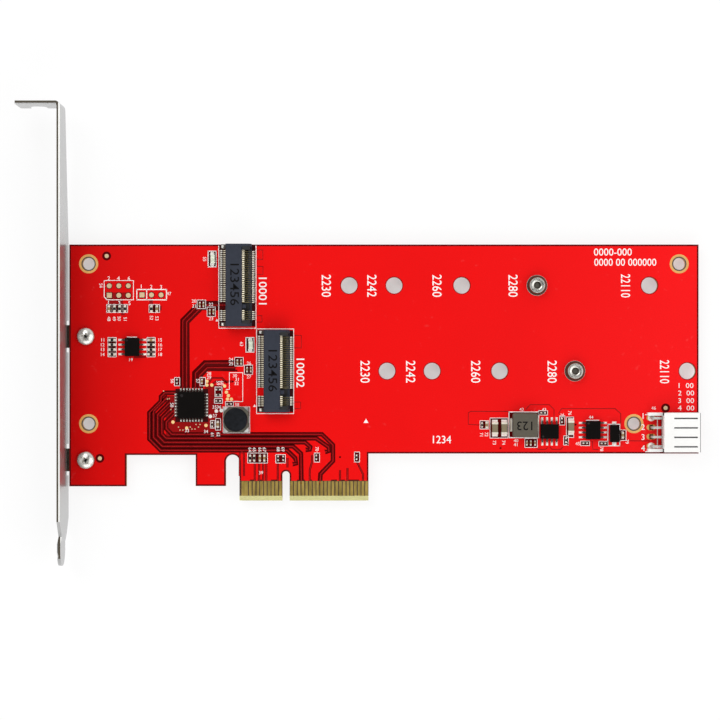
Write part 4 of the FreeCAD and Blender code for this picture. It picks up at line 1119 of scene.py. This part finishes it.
def chip_block(half_x, half_y, height, draft, low=0.1):
    """Moulded block whose sides slope away above and below the parting line."""
    top = low + height
    levels = ((low, draft), (low + height / 2, 0.0), (top - 0.05, draft), (top, draft + 0.05))
    return Shape().stack([[(sx * (half_x - inset), sy * (half_y - inset), level) for sx, sy in CORNER_SIGNS]
                          for level, inset in levels])


def turned_place(x, y, turn, u, v):
    """Place of a point (u, v) of a part that stands at (x, y), turned by an angle in degrees."""
    angle = math.radians(turn)
    return (x + u * math.cos(angle) - v * math.sin(angle), y + u * math.sin(angle) + v * math.cos(angle))


def lead_places(x, y, turn, sides, count, pitch):
    """Places and turns of the leads on the given sides of a chip, each row centred on its side."""
    first = -pitch * (count - 1) / 2
    return [(*turned_place(x, y, turn, 0, first + index * pitch), turn + side)
            for side in sides for index in range(count)]


def make_chips():
    add_copies("small_chip_blocks", chip_block(1.95, 2.45, 1.5, 0.10), SMALL_CHIPS, "chip", "chip_black",
               ("small_chip_bodies",))
    add_copies("controller_block", chip_block(3.5, 3.5, 1.4, 0.09), [CONTROLLER], "chip", "chip_black",
               ("controller_chip_body",))
    small = [spot for chip in SMALL_CHIPS for spot in lead_places(*chip, (0, 180), 4, 1.27)]
    fine = [spot for side in (0, 90, 180, 270) for spot in lead_places(*CONTROLLER, side, (0,), 8, 0.8)]
    # Leads in near-black metal as painted shade; the solder heaps cover their feet
    add_copies("small_chip_leads_bent", gull_lead(1.95, 3.05, 0.65, 0.78, 0.18, 0.42), small, "shoulder",
               "tinned_lead", ("small_chip_leads",))
    add_copies("controller_leads_bent", gull_lead(3.5, 4.53, 0.6, 0.74, 0.13, 0.36), fine, "shoulder",
               "tinned_lead", ("controller_chip_leads",))
    add_copies("small_chip_solder", Shape().mound(3.2, 0, 1.15, 0.60, 0.34), small, "solder", "tinned_lead")
    add_copies("controller_solder", Shape().mound(4.16, 0, 0.78, 0.50, 0.26), fine, "solder", "tinned_lead")
    dimples = Shape().disc(*turned_place(*CONTROLLER, 0, -2.5, 2.5), 1.45, 1.503, 0.42, 20)
    for chip in SMALL_CHIPS:
        dimples.disc(*turned_place(*chip, -1.3, 1.8), 1.55, 1.603, 0.28, 16)
    add_shape("mould_marks", dimples, "glass")


make_chips()


# Coils, diode and lamps

PRESSED_COIL = (63.6, 20.17)
DRUM_COIL = (-13.27, 21.61)
DRUM_HALF = 3.4
DRUM_CORNER = 1.5
DIODE = (87.46, 17.9)
LAMPS = ((-19.61, 64.30), (-9.51, 41.49))


def cut_square(x, y, half_x, half_y, cut):
    """Outline of a rectangle with its corners cut off."""
    return [(x - half_x + cut, y - half_y), (x + half_x - cut, y - half_y), (x + half_x, y - half_y + cut),
            (x + half_x, y + half_y - cut), (x + half_x - cut, y + half_y), (x - half_x + cut, y + half_y),
            (x - half_x, y + half_y - cut), (x - half_x, y - half_y + cut)]


def add_clips(name, centre, across, inner, outer, height, half, axis, replaces):
    """Two bent terminals that run out under a part's ends and up them."""
    clips = Shape()
    for sign in (-1, 1):
        near, wall, far = (centre + sign * reach for reach in (inner, outer - 0.15, outer))
        clips.profile([(near, 0), (far, 0), (far, height), (wall, height), (wall, 0.15), (near, 0.15)],
                      across - half, across + half, axis)
    add_shape(name, clips, "tin", (replaces,))


def make_pressed_coil():
    x, y = PRESSED_COIL
    block = Shape().prism(cut_square(x, y, 3.3, 3.2, 0.35), 0.16, 3.0)
    add_shape("pressed_coil_block", block, "olive", ("power_inductor_body",), bevel=0.22)
    add_clips("coil_block_clips", x, y, 1.9, 3.45, 1.1, 1.6, "y", "power_inductor_terminals")


def make_drum_coil():
    """An eight-sided base, and a round core over the winding."""
    x, y = DRUM_COIL
    base = Shape().prism(cut_square(x, y, DRUM_HALF, DRUM_HALF, DRUM_CORNER), 0.15, 1.0)
    add_shape("drum_base", base, "drum", ("drum_inductor_base",), bevel=0.12)
    axis, neck, brim = 0.001, 2.05, 3.14
    core = Shape().turned(x, y, [(axis, 0.95), (neck, 0.95), (neck, 2.2), (brim, 2.2), (brim, 2.70),
                                 (3.00, 2.9), (axis, 2.9)], 48)
    add_shape("drum_core", core, "ferrite", ("drum_inductor_core",), smooth=32)
    coil = Shape()
    wire_half, sides = 0.12, 8
    for turn in range(5):
        z = 1.12 + turn * 2 * wire_half
        angles = [math.tau * index / sides for index in range(sides)]
        coil.turned(x, y, [(2.5 + wire_half * math.cos(angle), z + wire_half * math.sin(angle))
                           for angle in angles], 48)
    add_shape("drum_winding", coil, "bronze", smooth=60)
    add_clips("drum_lugs", x, y, 2.1, 3.55, 1.0, 0.9, "y", "drum_inductor_terminals")


def make_coil_solder():
    """Solder at both ends of the pressed coil and at the four cut corners of the drum's base."""
    x, y = PRESSED_COIL
    pads = Shape()
    for sign in (-1, 1):
        pads.box(x + sign * 3.6, y, SUNK, 0.16, 0.5, 3.5, 0.08)
    add_shape("coil_pads", pads, "end", smooth=60)
    x, y = DRUM_COIL
    near = DRUM_HALF - DRUM_CORNER
    corners = Shape()
    for sx, sy in ((-1, -1), (-1, 1), (1, -1), (1, 1)):
        outline = [(x + sx * DRUM_HALF, y + sy * near), (x + sx * DRUM_HALF, y + sy * DRUM_HALF),
                   (x + sx * near, y + sy * DRUM_HALF)]
        corners.prism(outline if sx * sy > 0 else outline[::-1], SUNK, 0.55, 0.12)
    add_shape("drum_corners", corners, "tin", smooth=60)


def make_diode():
    x, y = DIODE
    add_copies("diode_block", chip_block(1.3, 2.3, 1.95, 0.12, 0.15), [DIODE], "chip", "chip_black",
               ("diode_body",))
    add_clips("diode_clips", y, x, 1.2, 2.45, 1.0, 0.5, "x", "diode_terminals")
    pads = Shape()
    for sign in (-1, 1):
        pads.mound(x, y + sign * 2.75, 1.2, 0.9, 0.35)
    add_shape("diode_solder", pads, "solder")


def make_lamps():
    lens = Shape()
    base = Shape()
    ends = Shape()
    for x, y in LAMPS:
        base.box(x, y, 0.02, 0.45, 1.5, 2.9)
        lens.box(x + 0.16, y, 0.44, 1.2, 1.24, 2.2, 0.22)
        for sign in (-1, 1):
            ends.box(x, y + sign * 1.35, 0.0, 0.50, 1.1, 0.5)
            ends.box(x, y + sign * 1.75, SUNK, 0.16, 0.9, 0.4, 0.08)
    add_shape("lamp_lenses", lens, "lens", ("status_lamps",), smooth=50)
    add_shape("lamp_bases", base, "slate_dark")
    add_shape("lamp_ends", ends, "solder")


make_pressed_coil()
make_drum_coil()
make_coil_solder()
make_diode()
make_lamps()


# Power header: its mouth looks to +X, and its pins bend down through the board behind the back wall

HEADER_FRONT = 109.64
HEADER_BACK = 100.04
HEADER_SIDES = (13.1, 23.5)
HEADER_WALL = 0.8
HEADER_TOP = 6.0
HEADER_ROOF_UNDER = 5.2
PIN_PLACES = (22.05, 19.55, 17.05, 14.55)
PIN_X = HEADER_BACK - 2.74
PIN_HALF = 0.32
SLOT_HALF = 0.2
SLOT_ENDS = (HEADER_FRONT - 0.74 - 6.25, HEADER_FRONT - 0.74)


def make_header_housing():
    """Floor, side walls with long cheeks, back wall and a roof with one slot over every pin."""
    low, high = HEADER_SIDES
    wall, under, top = HEADER_WALL, HEADER_ROOF_UNDER, HEADER_TOP
    back, front = SLOT_ENDS
    body = Shape().span(HEADER_BACK, HEADER_FRONT, low, high, 0.0, wall)
    for near, far in ((low, low + wall), (high - wall, high)):
        body.span(HEADER_BACK - 3.9, HEADER_FRONT, near, far, 0.0, 3.0)
        body.span(HEADER_BACK, HEADER_FRONT, near, far, 2.99, under + 0.01)
    body.span(HEADER_BACK, HEADER_BACK + wall, low, high, 0.0, under + 0.01)
    body.span(HEADER_BACK, back, low, high, under, top)
    body.span(front, HEADER_FRONT, low, high, under, top)
    slots = [pin_y + side for pin_y in reversed(PIN_PLACES) for side in (-SLOT_HALF, SLOT_HALF)]
    edges = [low] + slots + [high]
    for near, far in zip(edges[::2], edges[1::2]):
        body.span(back, front, near, far, under, top)
    add_shape("header_moulding", body, "header", ("power_header_housing",))
    # Dark strips of painted shade right under the slots of the roof
    slot_shade = Shape()
    for pin_y in PIN_PLACES:
        slot_shade.span(back, front, pin_y - 0.3, pin_y + 0.3, 4.6, under - 0.01)
    add_shape("header_slot_blades", slot_shade, "painted_shade_grey")
    # Grey line of painted shade along the roof's front edge
    edge = Shape().span(HEADER_FRONT - 0.16, HEADER_FRONT, low, high, 5.9, top + 0.004)
    add_shape("header_front_edge", edge, "painted_shade_grey")


def make_header_pins():
    """Bent pins, the solder or flat dark discs of painted hole shade round them, and the long plated rings on
    both faces.
    """
    pins = Shape()
    collars = Shape()
    wells = Shape()
    rings = Shape()
    x, arm, end = PIN_X, PIN_HALF, 107.9
    bend = [(x - arm, -2.97), (x + arm, -2.97), (x + arm, 2.4), (x + arm + 0.28, 3 - arm), (end, 3 - arm),
            (end, 3 + arm), (x + 0.15, 3 + arm), (x - arm, 2.85)]
    hole, foot, waist, neck = 0.2, 0.95, 0.9, 0.55
    rise = 0.35
    for pin_y in PIN_PLACES:
        pins.profile(bend, pin_y - arm, pin_y + arm)
        if pin_y in PIN_PLACES[1:3]:
            wells.disc(x, pin_y, SUNK, LAYER_PRINT, 0.56, 20)
        else:
            collars.turned(x, pin_y, [(hole, SUNK), (foot, SUNK), (waist, 0.06), (neck, rise),
                                      (hole, rise)], 24)
            low, high = BOARD_UNDER - rise, BOARD_UNDER - SUNK
            collars.turned(x, pin_y, [(hole, low), (neck, low), (waist, BOARD_UNDER - 0.06), (foot, high),
                                      (hole, high)], 24)
        for low, high in ((SUNK, LAYER_PAD), (BOARD_UNDER - 0.03, BOARD_UNDER + 0.01)):
            for sign in (-1, 1):
                rings.disc(x + sign * 0.48, pin_y, low, high, 0.76, 20)
            rings.box(x, pin_y, low, high, 0.98, 1.5)
    add_shape("header_pins_bent", pins, "tin", ("power_header_pins",), bevel=0.06)
    add_shape("header_wells", wells, "dark_hole")
    add_shape("header_solder", collars, "solder", smooth=50)
    add_shape("header_rings", rings, "ring", smooth=40)


make_header_housing()
make_header_pins()


# Pad fields of the two unfitted headers, each with one square pad

SQUARE_PADS = ((-47.09, 54.69), (-38.37, 54.81))
ROUND_PADS = (
    (-47.09, 57.23), (-44.55, 54.69), (-44.55, 57.23), (-42.01, 54.69), (-42.01, 57.23), (-35.84, 54.81),
    (-33.28, 54.81))


def make_pad_fields():
    rims = Shape()
    fill = Shape()
    under = Shape()
    for x, y in ROUND_PADS:
        rims.disc(x, y, SUNK, LAYER_TRACE, 0.84, 24)
        fill.disc(x, y, SUNK, 0.07, 0.66, 24, 0.04)
    for x, y in SQUARE_PADS:
        rims.box(x, y, SUNK, LAYER_TRACE, 1.7, 1.7)
        fill.box(x, y, SUNK, 0.07, 1.36, 1.36, 0.04)
    for x, y in ROUND_PADS + SQUARE_PADS:
        under.disc(x, y, BOARD_UNDER - 0.12, BOARD_UNDER + 0.01, 0.72, 24)
    add_shape("field_rims", rims, "maroon")
    add_shape("field_solder", fill, "tan")
    add_shape("field_under_solder", under, "solder")


make_pad_fields()


# White print: frames, numbers and plain bars

TEXT_DEPTH = 0.015


def text_mesh(name, words, size):
    curve = bpy.data.curves.new(name, "FONT")
    curve.body = words
    curve.size = size
    curve.align_x = "CENTER"
    curve.align_y = "CENTER"
    curve.extrude = TEXT_DEPTH
    curve.offset = 0.012 if size > 2 else 0.0
    curve.resolution_u = 3
    holder = new_object(name, curve)
    mesh = plain_mesh(holder)
    bpy.data.objects.remove(holder)
    return mesh


def add_words(name, entries, level=LAYER_PRINT, finish="print"):
    """One piece from words: (words, x, y, letter height, turn in degrees, width factor)."""
    shape = Shape()
    for index, (words, x, y, height, turn, narrow) in enumerate(entries):
        mesh = text_mesh(f"{name}_{index}", words, height * 1.44)
        xs = [vertex.co.x for vertex in mesh.vertices]
        ys = [vertex.co.y for vertex in mesh.vertices]
        middle = Vector(((min(xs) + max(xs)) / 2, (min(ys) + max(ys)) / 2, 0))
        place = (Matrix.Translation(Vector((x, y, level - TEXT_DEPTH)))
                 @ Matrix.Rotation(math.radians(turn), 4, "Z")
                 @ Matrix.Diagonal((narrow, 1, 1, 1)) @ Matrix.Translation(-middle))
        start = len(shape.points)
        shape.points += [tuple(place @ vertex.co) for vertex in mesh.vertices]
        shape.faces += [[start + number for number in polygon.vertices] for polygon in mesh.polygons]
    add_shape(name, shape, finish)


# Places of the print, as points of the view: the numbers beside the parts, upright and turned
LABEL_ROWS = (339.9, 344.7, 349.5, 354.4)
LABELS = (
    *((x, y) for x in (102.8, 160.3) for y in LABEL_ROWS), (131, 359.6), (194, 301), (194, 306),
    (211, 304.4), (211, 318.6), (231, 359.4), (231, 363.6), (249, 363.2), (249, 376.8), (209, 373.6),
    (209, 377.4), (235, 375.6), (237, 379.4), (236.5, 383.4), (187, 430.5), (206, 431.5), (214.5, 407),
    (219, 407), (215, 415.8), (237, 404.6), (261, 472.6), (516, 440.6), (515.6, 444.6), (521.6, 409.4),
    (544, 409.6), (591, 417.2), (577.6, 443.6), (653.6, 408), (169, 293.6))
TURNED_LABELS = (
    (109, 318.8), (114.3, 318.6), (119.2, 318.6), (125.3, 318.8), (151.5, 317.8), (157, 318.3),
    (101, 285.5), (204.6, 259), (172.4, 381), (197.8, 381), (172, 405), (218.2, 383), (222, 383),
    (212.4, 434.4), (218.4, 434.4), (241.6, 344), (250, 449.6), (254.4, 449.6), (260, 449.6),
    (264.4, 449.6), (278.4, 449.2), (283, 449.2), (317, 449), (481.4, 434.4), (486.4, 434.4),
    (494.4, 442.6), (503.6, 442.6), (562, 415.4), (569.8, 413), (567, 443.6), (601.6, 449), (627, 441.6))
# The length codes of the modules: the line of each row, and the place of each code along it
LENGTH_CODES = (("2230", 0.86), ("2242", 0.86), ("2260", 0.86), ("2280", 0.86), ("22110", 0.72))
CODE_PLACES = (
    (285.8, (326.3, 371.9, 437.0, 513.0, 625.5)), (371.7, (365.1, 410.7, 475.7, 552.1, 664.5)))
PAD_NUMBERS = (
    ("2", 108.8, 278.3), ("4", 118.5, 278.3), ("6", 129.0, 278.5), ("1", 108.5, 302.6), ("3", 119.3, 303.0),
    ("5", 129.5, 303.2), ("1", 141.3, 286.5), ("2", 151.2, 286.8), ("3", 161.0, 287.0))
# Other plain numbers: words, place, letter height, turn and width factor
PLAIN_NUMBERS = (
    *((words, 643, y, 1.5, 0, 1.0) for words, y in (("1", 416), ("2", 427), ("3", 437), ("4", 448))),
    *((words, 686, y, 1.3, 0, 1.15) for words, y in (("1  00", 385.5), ("2  00", 393.0), ("3  00", 400.6),
                                                     ("4  00", 408.0))),
    ("10001", 262.8, 291.0, 2.1, -90, 1.12), ("10002", 300.4, 373.0, 2.1, -90, 1.12),
    ("0000-000", 612.8, 252, 1.9, 0, 0.98), ("0000 00 000000", 625.2, 262.2, 1.9, 0, 0.93),
    ("1234", 442, 439.5, 2.0, 0, 0.95))
# Frames as boxes: left, right, upper, lower
PART_FRAMES = (
    *((x - 2.65, x + 2.65, 304.5, 312.5) for x in (109.3, 114.5, 119.8, 125.0, 151.7, 157.0)),
    *((left, left + 8.3, y - 2.4, y + 2.4) for left in (108, 147) for y in LABEL_ROWS),
    (197.1, 205.7, 300, 308.6), (207.1, 215.4, 307.1, 316.4), (234.7, 243.3, 357.4, 366),
    (244.4, 252.7, 365.1, 374.3), (174.5, 179.8, 377.5, 385.8), (200, 205.5, 377.5, 385.8),
    (215, 222, 387, 396.7), (214.5, 222.5, 398.5, 403.2), (225.5, 233.5, 401.5, 406),
    (210.5, 215, 420.5, 428), (215.6, 220.6, 418.5, 430), (247.7, 257.3, 453, 463),
    (257.3, 267.5, 453, 463), (275.7, 285.4, 454.6, 463), (314.2, 319.6, 453, 462),
    (354.4, 359.6, 452, 462), (480, 488.6, 420.7, 429), (490, 507.9, 418, 438), (566.4, 573.6, 417, 437.4),
    (559.6, 564.8, 415.8, 425), (563.6, 568.4, 435.8, 445), (524.8, 537.2, 438.4, 447.4),
    (580.6, 589.6, 441, 445.6), (598.8, 607.8, 441.2, 446), (619.9, 626, 430, 440.4),
    (538.6, 547.6, 410.6, 415), (223.2, 249.8, 406.8, 432.8))
LAMP_FRAMES = ((208.2, 216.2, 251.2, 266.8), (246, 254, 337.6, 352))
FIELD_FRAME = (136.8, 166.5, 289.5, 299.8)
COIL_FRAME = (509, 538.6, 412, 437.6)
DIODE_FRAME = (607.9, 619.7, 424.3, 445.7)
PRINT_LINES = (
    way((146.7, 289.5), (146.7, 299.8)), way((127, 337.2), (137, 337.2)), way((586, 420.3), (599, 420.3)),
    way((541.3, 418.5), (541.3, 437)),
    way((226, 389.5), (229.4, 389.5), (229.4, 372.6), (242.8, 372.6), (242.8, 401.5), (233.5, 401.5)),
    way((104.2, 296.5), (104.2, 280.5), (133.5, 280.5), (133.5, 299.8), (107.2, 299.8), (104.2, 296.8)),
    way((657.4, 416.5), (657.4, 450)), way((645, 414.6), (660, 414.6)), way((645, 451.6), (660, 451.6)),
    way((218.8, 245.6), (218.8, 328.2), (256, 328.2), (256, 245.6)),
    way((256.6, 328.9), (256.6, 413.6), (293.7, 413.6), (293.7, 328.9), (256.6, 328.9)))
# Small triangles: place and radius in mm
TRIANGLES = ((366, 421.5, 0.75), (217, 320.5, 0.45), (254.6, 406, 0.45))
FRAME_LINE = 0.15
THICK_LINE = 0.26
PRINT_DEPTH = 0.04


def make_numbers():
    words = [(code, *px(x, y), 2.45, -90, narrow) for y, places in CODE_PLACES
             for x, (code, narrow) in zip(places, LENGTH_CODES)]
    words += [(number, *px(x, y), 1.05, 0, 1.0) for number, x, y in PAD_NUMBERS]
    words += [(number, *px(x, y), *form) for number, x, y, *form in PLAIN_NUMBERS]
    # Counted numbers beside the parts
    counted = [(place, 0) for place in LABELS] + [(place, -90) for place in TURNED_LABELS]
    words += [(str(number), *px(*place), 0.85, turn, 1.0) for number, (place, turn) in enumerate(counted, 11)]
    add_words("print_numbers", words)
    add_words("socket_numbers", [("123456", x - 0.3, y + 0.1, 2.3, -90, 1.2) for x, y in ROWS.values()],
              ROOF_TOP + 0.004, "black_ink")
    add_words("coil_number", [("123", 63.4, 20.0, 2.3, 180, 1.0)], 3.004, "black_ink")


def make_frames():
    for name, width, boxes in (("print_frames", FRAME_LINE, PART_FRAMES),
                               ("print_thick_frames", THICK_LINE,
                                (*LAMP_FRAMES, FIELD_FRAME, COIL_FRAME, DIODE_FRAME))):
        lines = [line for box in boxes for line in frame_of(*box_of(*box), width / 2)]
        add_ribbons(name, lines, width, LAYER_PRINT, "print", PRINT_DEPTH)
    # Painted shade inside the part frames, in the dark finish of mask over bare laminate
    patches("part_shadows", (*PART_FRAMES, *LAMP_FRAMES, COIL_FRAME), LAYER_TRACE, "channel")
    add_ribbons("print_lines", PRINT_LINES, 0.24, LAYER_PRINT, "print", PRINT_DEPTH)
    marks = Shape()
    for x, y, radius in TRIANGLES:
        marks.disc(*px(x, y), SUNK, LAYER_PRINT, radius, 3, turn=math.pi / 2)
    add_shape("print_marks", marks, "print")


make_numbers()
make_frames()


# Floor, lights and camera

FLOOR_Z = -3.83
FLOOR_HALF = 900
LIGHT_TARGET = (20, 35, 0)
# Lights: place, length, width and power
LIGHTS = {"key_light": ((-260, 420, 720), 520, 420, 2.25), "fill_light": ((420, -60, 640), 480, 480, 1.55),
          "front_light": ((20, -480, 520), 620, 300, 1.1)}
# Light of the room by height of view, from the floor to straight above, where the camera hangs
ROOM_LEVELS = ((0.0, 0.95), (0.6, 0.85), (0.93, 0.2), (1.0, 0.12))


def make_floor():
    """Pale floor that the camera sees as near white, apart from its shadows and the part under the board."""
    slab = Shape().box(0, 0, FLOOR_Z - 2, FLOOR_Z, 2 * FLOOR_HALF, 2 * FLOOR_HALF)
    floor = new_object("studio_floor", slab.mesh("studio_floor"))
    paint = Paint("floor_white", Roughness=0.85)
    paint.feed("Base Color", paint.mottle(paint.noise(6, 3), (0.93, 0.93, 0.93), (0.96, 0.96, 0.96)))
    paint.feed("Roughness", paint.uneven(paint.noise(60, 3), 0.8, 0.9))
    glow = paint.tree.nodes.new("ShaderNodeEmission")
    glow.inputs["Color"].default_value = (1, 1, 1, 1)
    path = paint.tree.nodes.new("ShaderNodeLightPath")
    rays = [Link(paint, path.outputs[f"Is {kind} Ray"]) for kind in ("Camera", "Glossy", "Transmission")]
    seen = (rays[0] + rays[1] + rays[2]) * 0.82
    # Under the board, and darker still in the shade right of the bracket
    x, y, _ = paint.axes()
    under = ((x > -59.2 * MM) * (x < 110 * MM) * (y > 4.5 * MM + (x > -45 * MM) * (11.5 * MM))
             * (y < 68.3 * MM))
    seen = seen * (1 - under * (0.10 + (x > -56.5 * MM) * 0.38))
    mix = paint.tree.nodes.new("ShaderNodeMixShader")
    paint.tree.links.new(seen.socket, mix.inputs[0])
    wire(paint.tree, (paint.shader, 0, mix, 1), (glow, 0, mix, 2),
         (mix, 0, paint.tree.nodes["Material Output"], "Surface"))
    floor.data.materials.append(paint.material)


def make_lights():
    for name, (place, length, width, power) in LIGHTS.items():
        light = bpy.data.lights.new(name, "AREA")
        light.shape = "RECTANGLE"
        light.size, light.size_y = length * MM, width * MM
        light.energy = power
        holder = new_object(name, light)
        holder.location = Vector(place) * MM
        holder.rotation_euler = (Vector(LIGHT_TARGET) - Vector(place)).to_track_quat("-Z", "Y").to_euler()


def make_room():
    """White to the camera; for the light, darker straight above and brighter towards the sides."""
    world = bpy.data.worlds.new("studio")
    world.use_nodes = True
    bpy.context.scene.world = world
    tree = world.node_tree
    background = tree.nodes["Background"]
    background.inputs["Color"].default_value = (1, 1, 1, 1)
    background.inputs["Strength"].default_value = 1.0
    path = tree.nodes.new("ShaderNodeLightPath")
    soft = tree.nodes.new("ShaderNodeBackground")
    ways = tree.nodes.new("ShaderNodeTexCoord")
    axes = tree.nodes.new("ShaderNodeSeparateXYZ")
    height = tree.nodes.new("ShaderNodeValToRGB")
    mix = tree.nodes.new("ShaderNodeMixShader")
    seen = tree.nodes.new("ShaderNodeMath")
    seen.operation = "MAXIMUM"
    stops = height.color_ramp.elements
    for position, _ in ROOM_LEVELS[1:-1]:
        stops.new(position)
    for stop, (_, level) in zip(stops, ROOM_LEVELS):
        stop.color = (level, level, level, 1)
    wire(tree, (ways, "Generated", axes, 0), (axes, 2, height, 0), (height, 0, soft, "Color"),
         (path, "Is Camera Ray", seen, 0), (path, "Is Transmission Ray", seen, 1), (seen, 0, mix, 0),
         (soft, 0, mix, 1), (background, 0, mix, 2), (mix, 0, tree.nodes["World Output"], "Surface"))


def make_camera():
    data = bpy.data.cameras.new("camera")
    data.lens = LENS
    data.sensor_width = 36
    data.clip_start = 0.01
    data.clip_end = 20
    camera = new_object("camera", data)
    camera.location = (VIEW_CENTRE[0] * MM, VIEW_CENTRE[1] * MM, VIEW_HEIGHT * MM)
    bpy.context.scene.camera = camera
    bpy.context.scene.view_settings.view_transform = "Standard"


make_floor()
make_lights()
make_room()
make_camera()
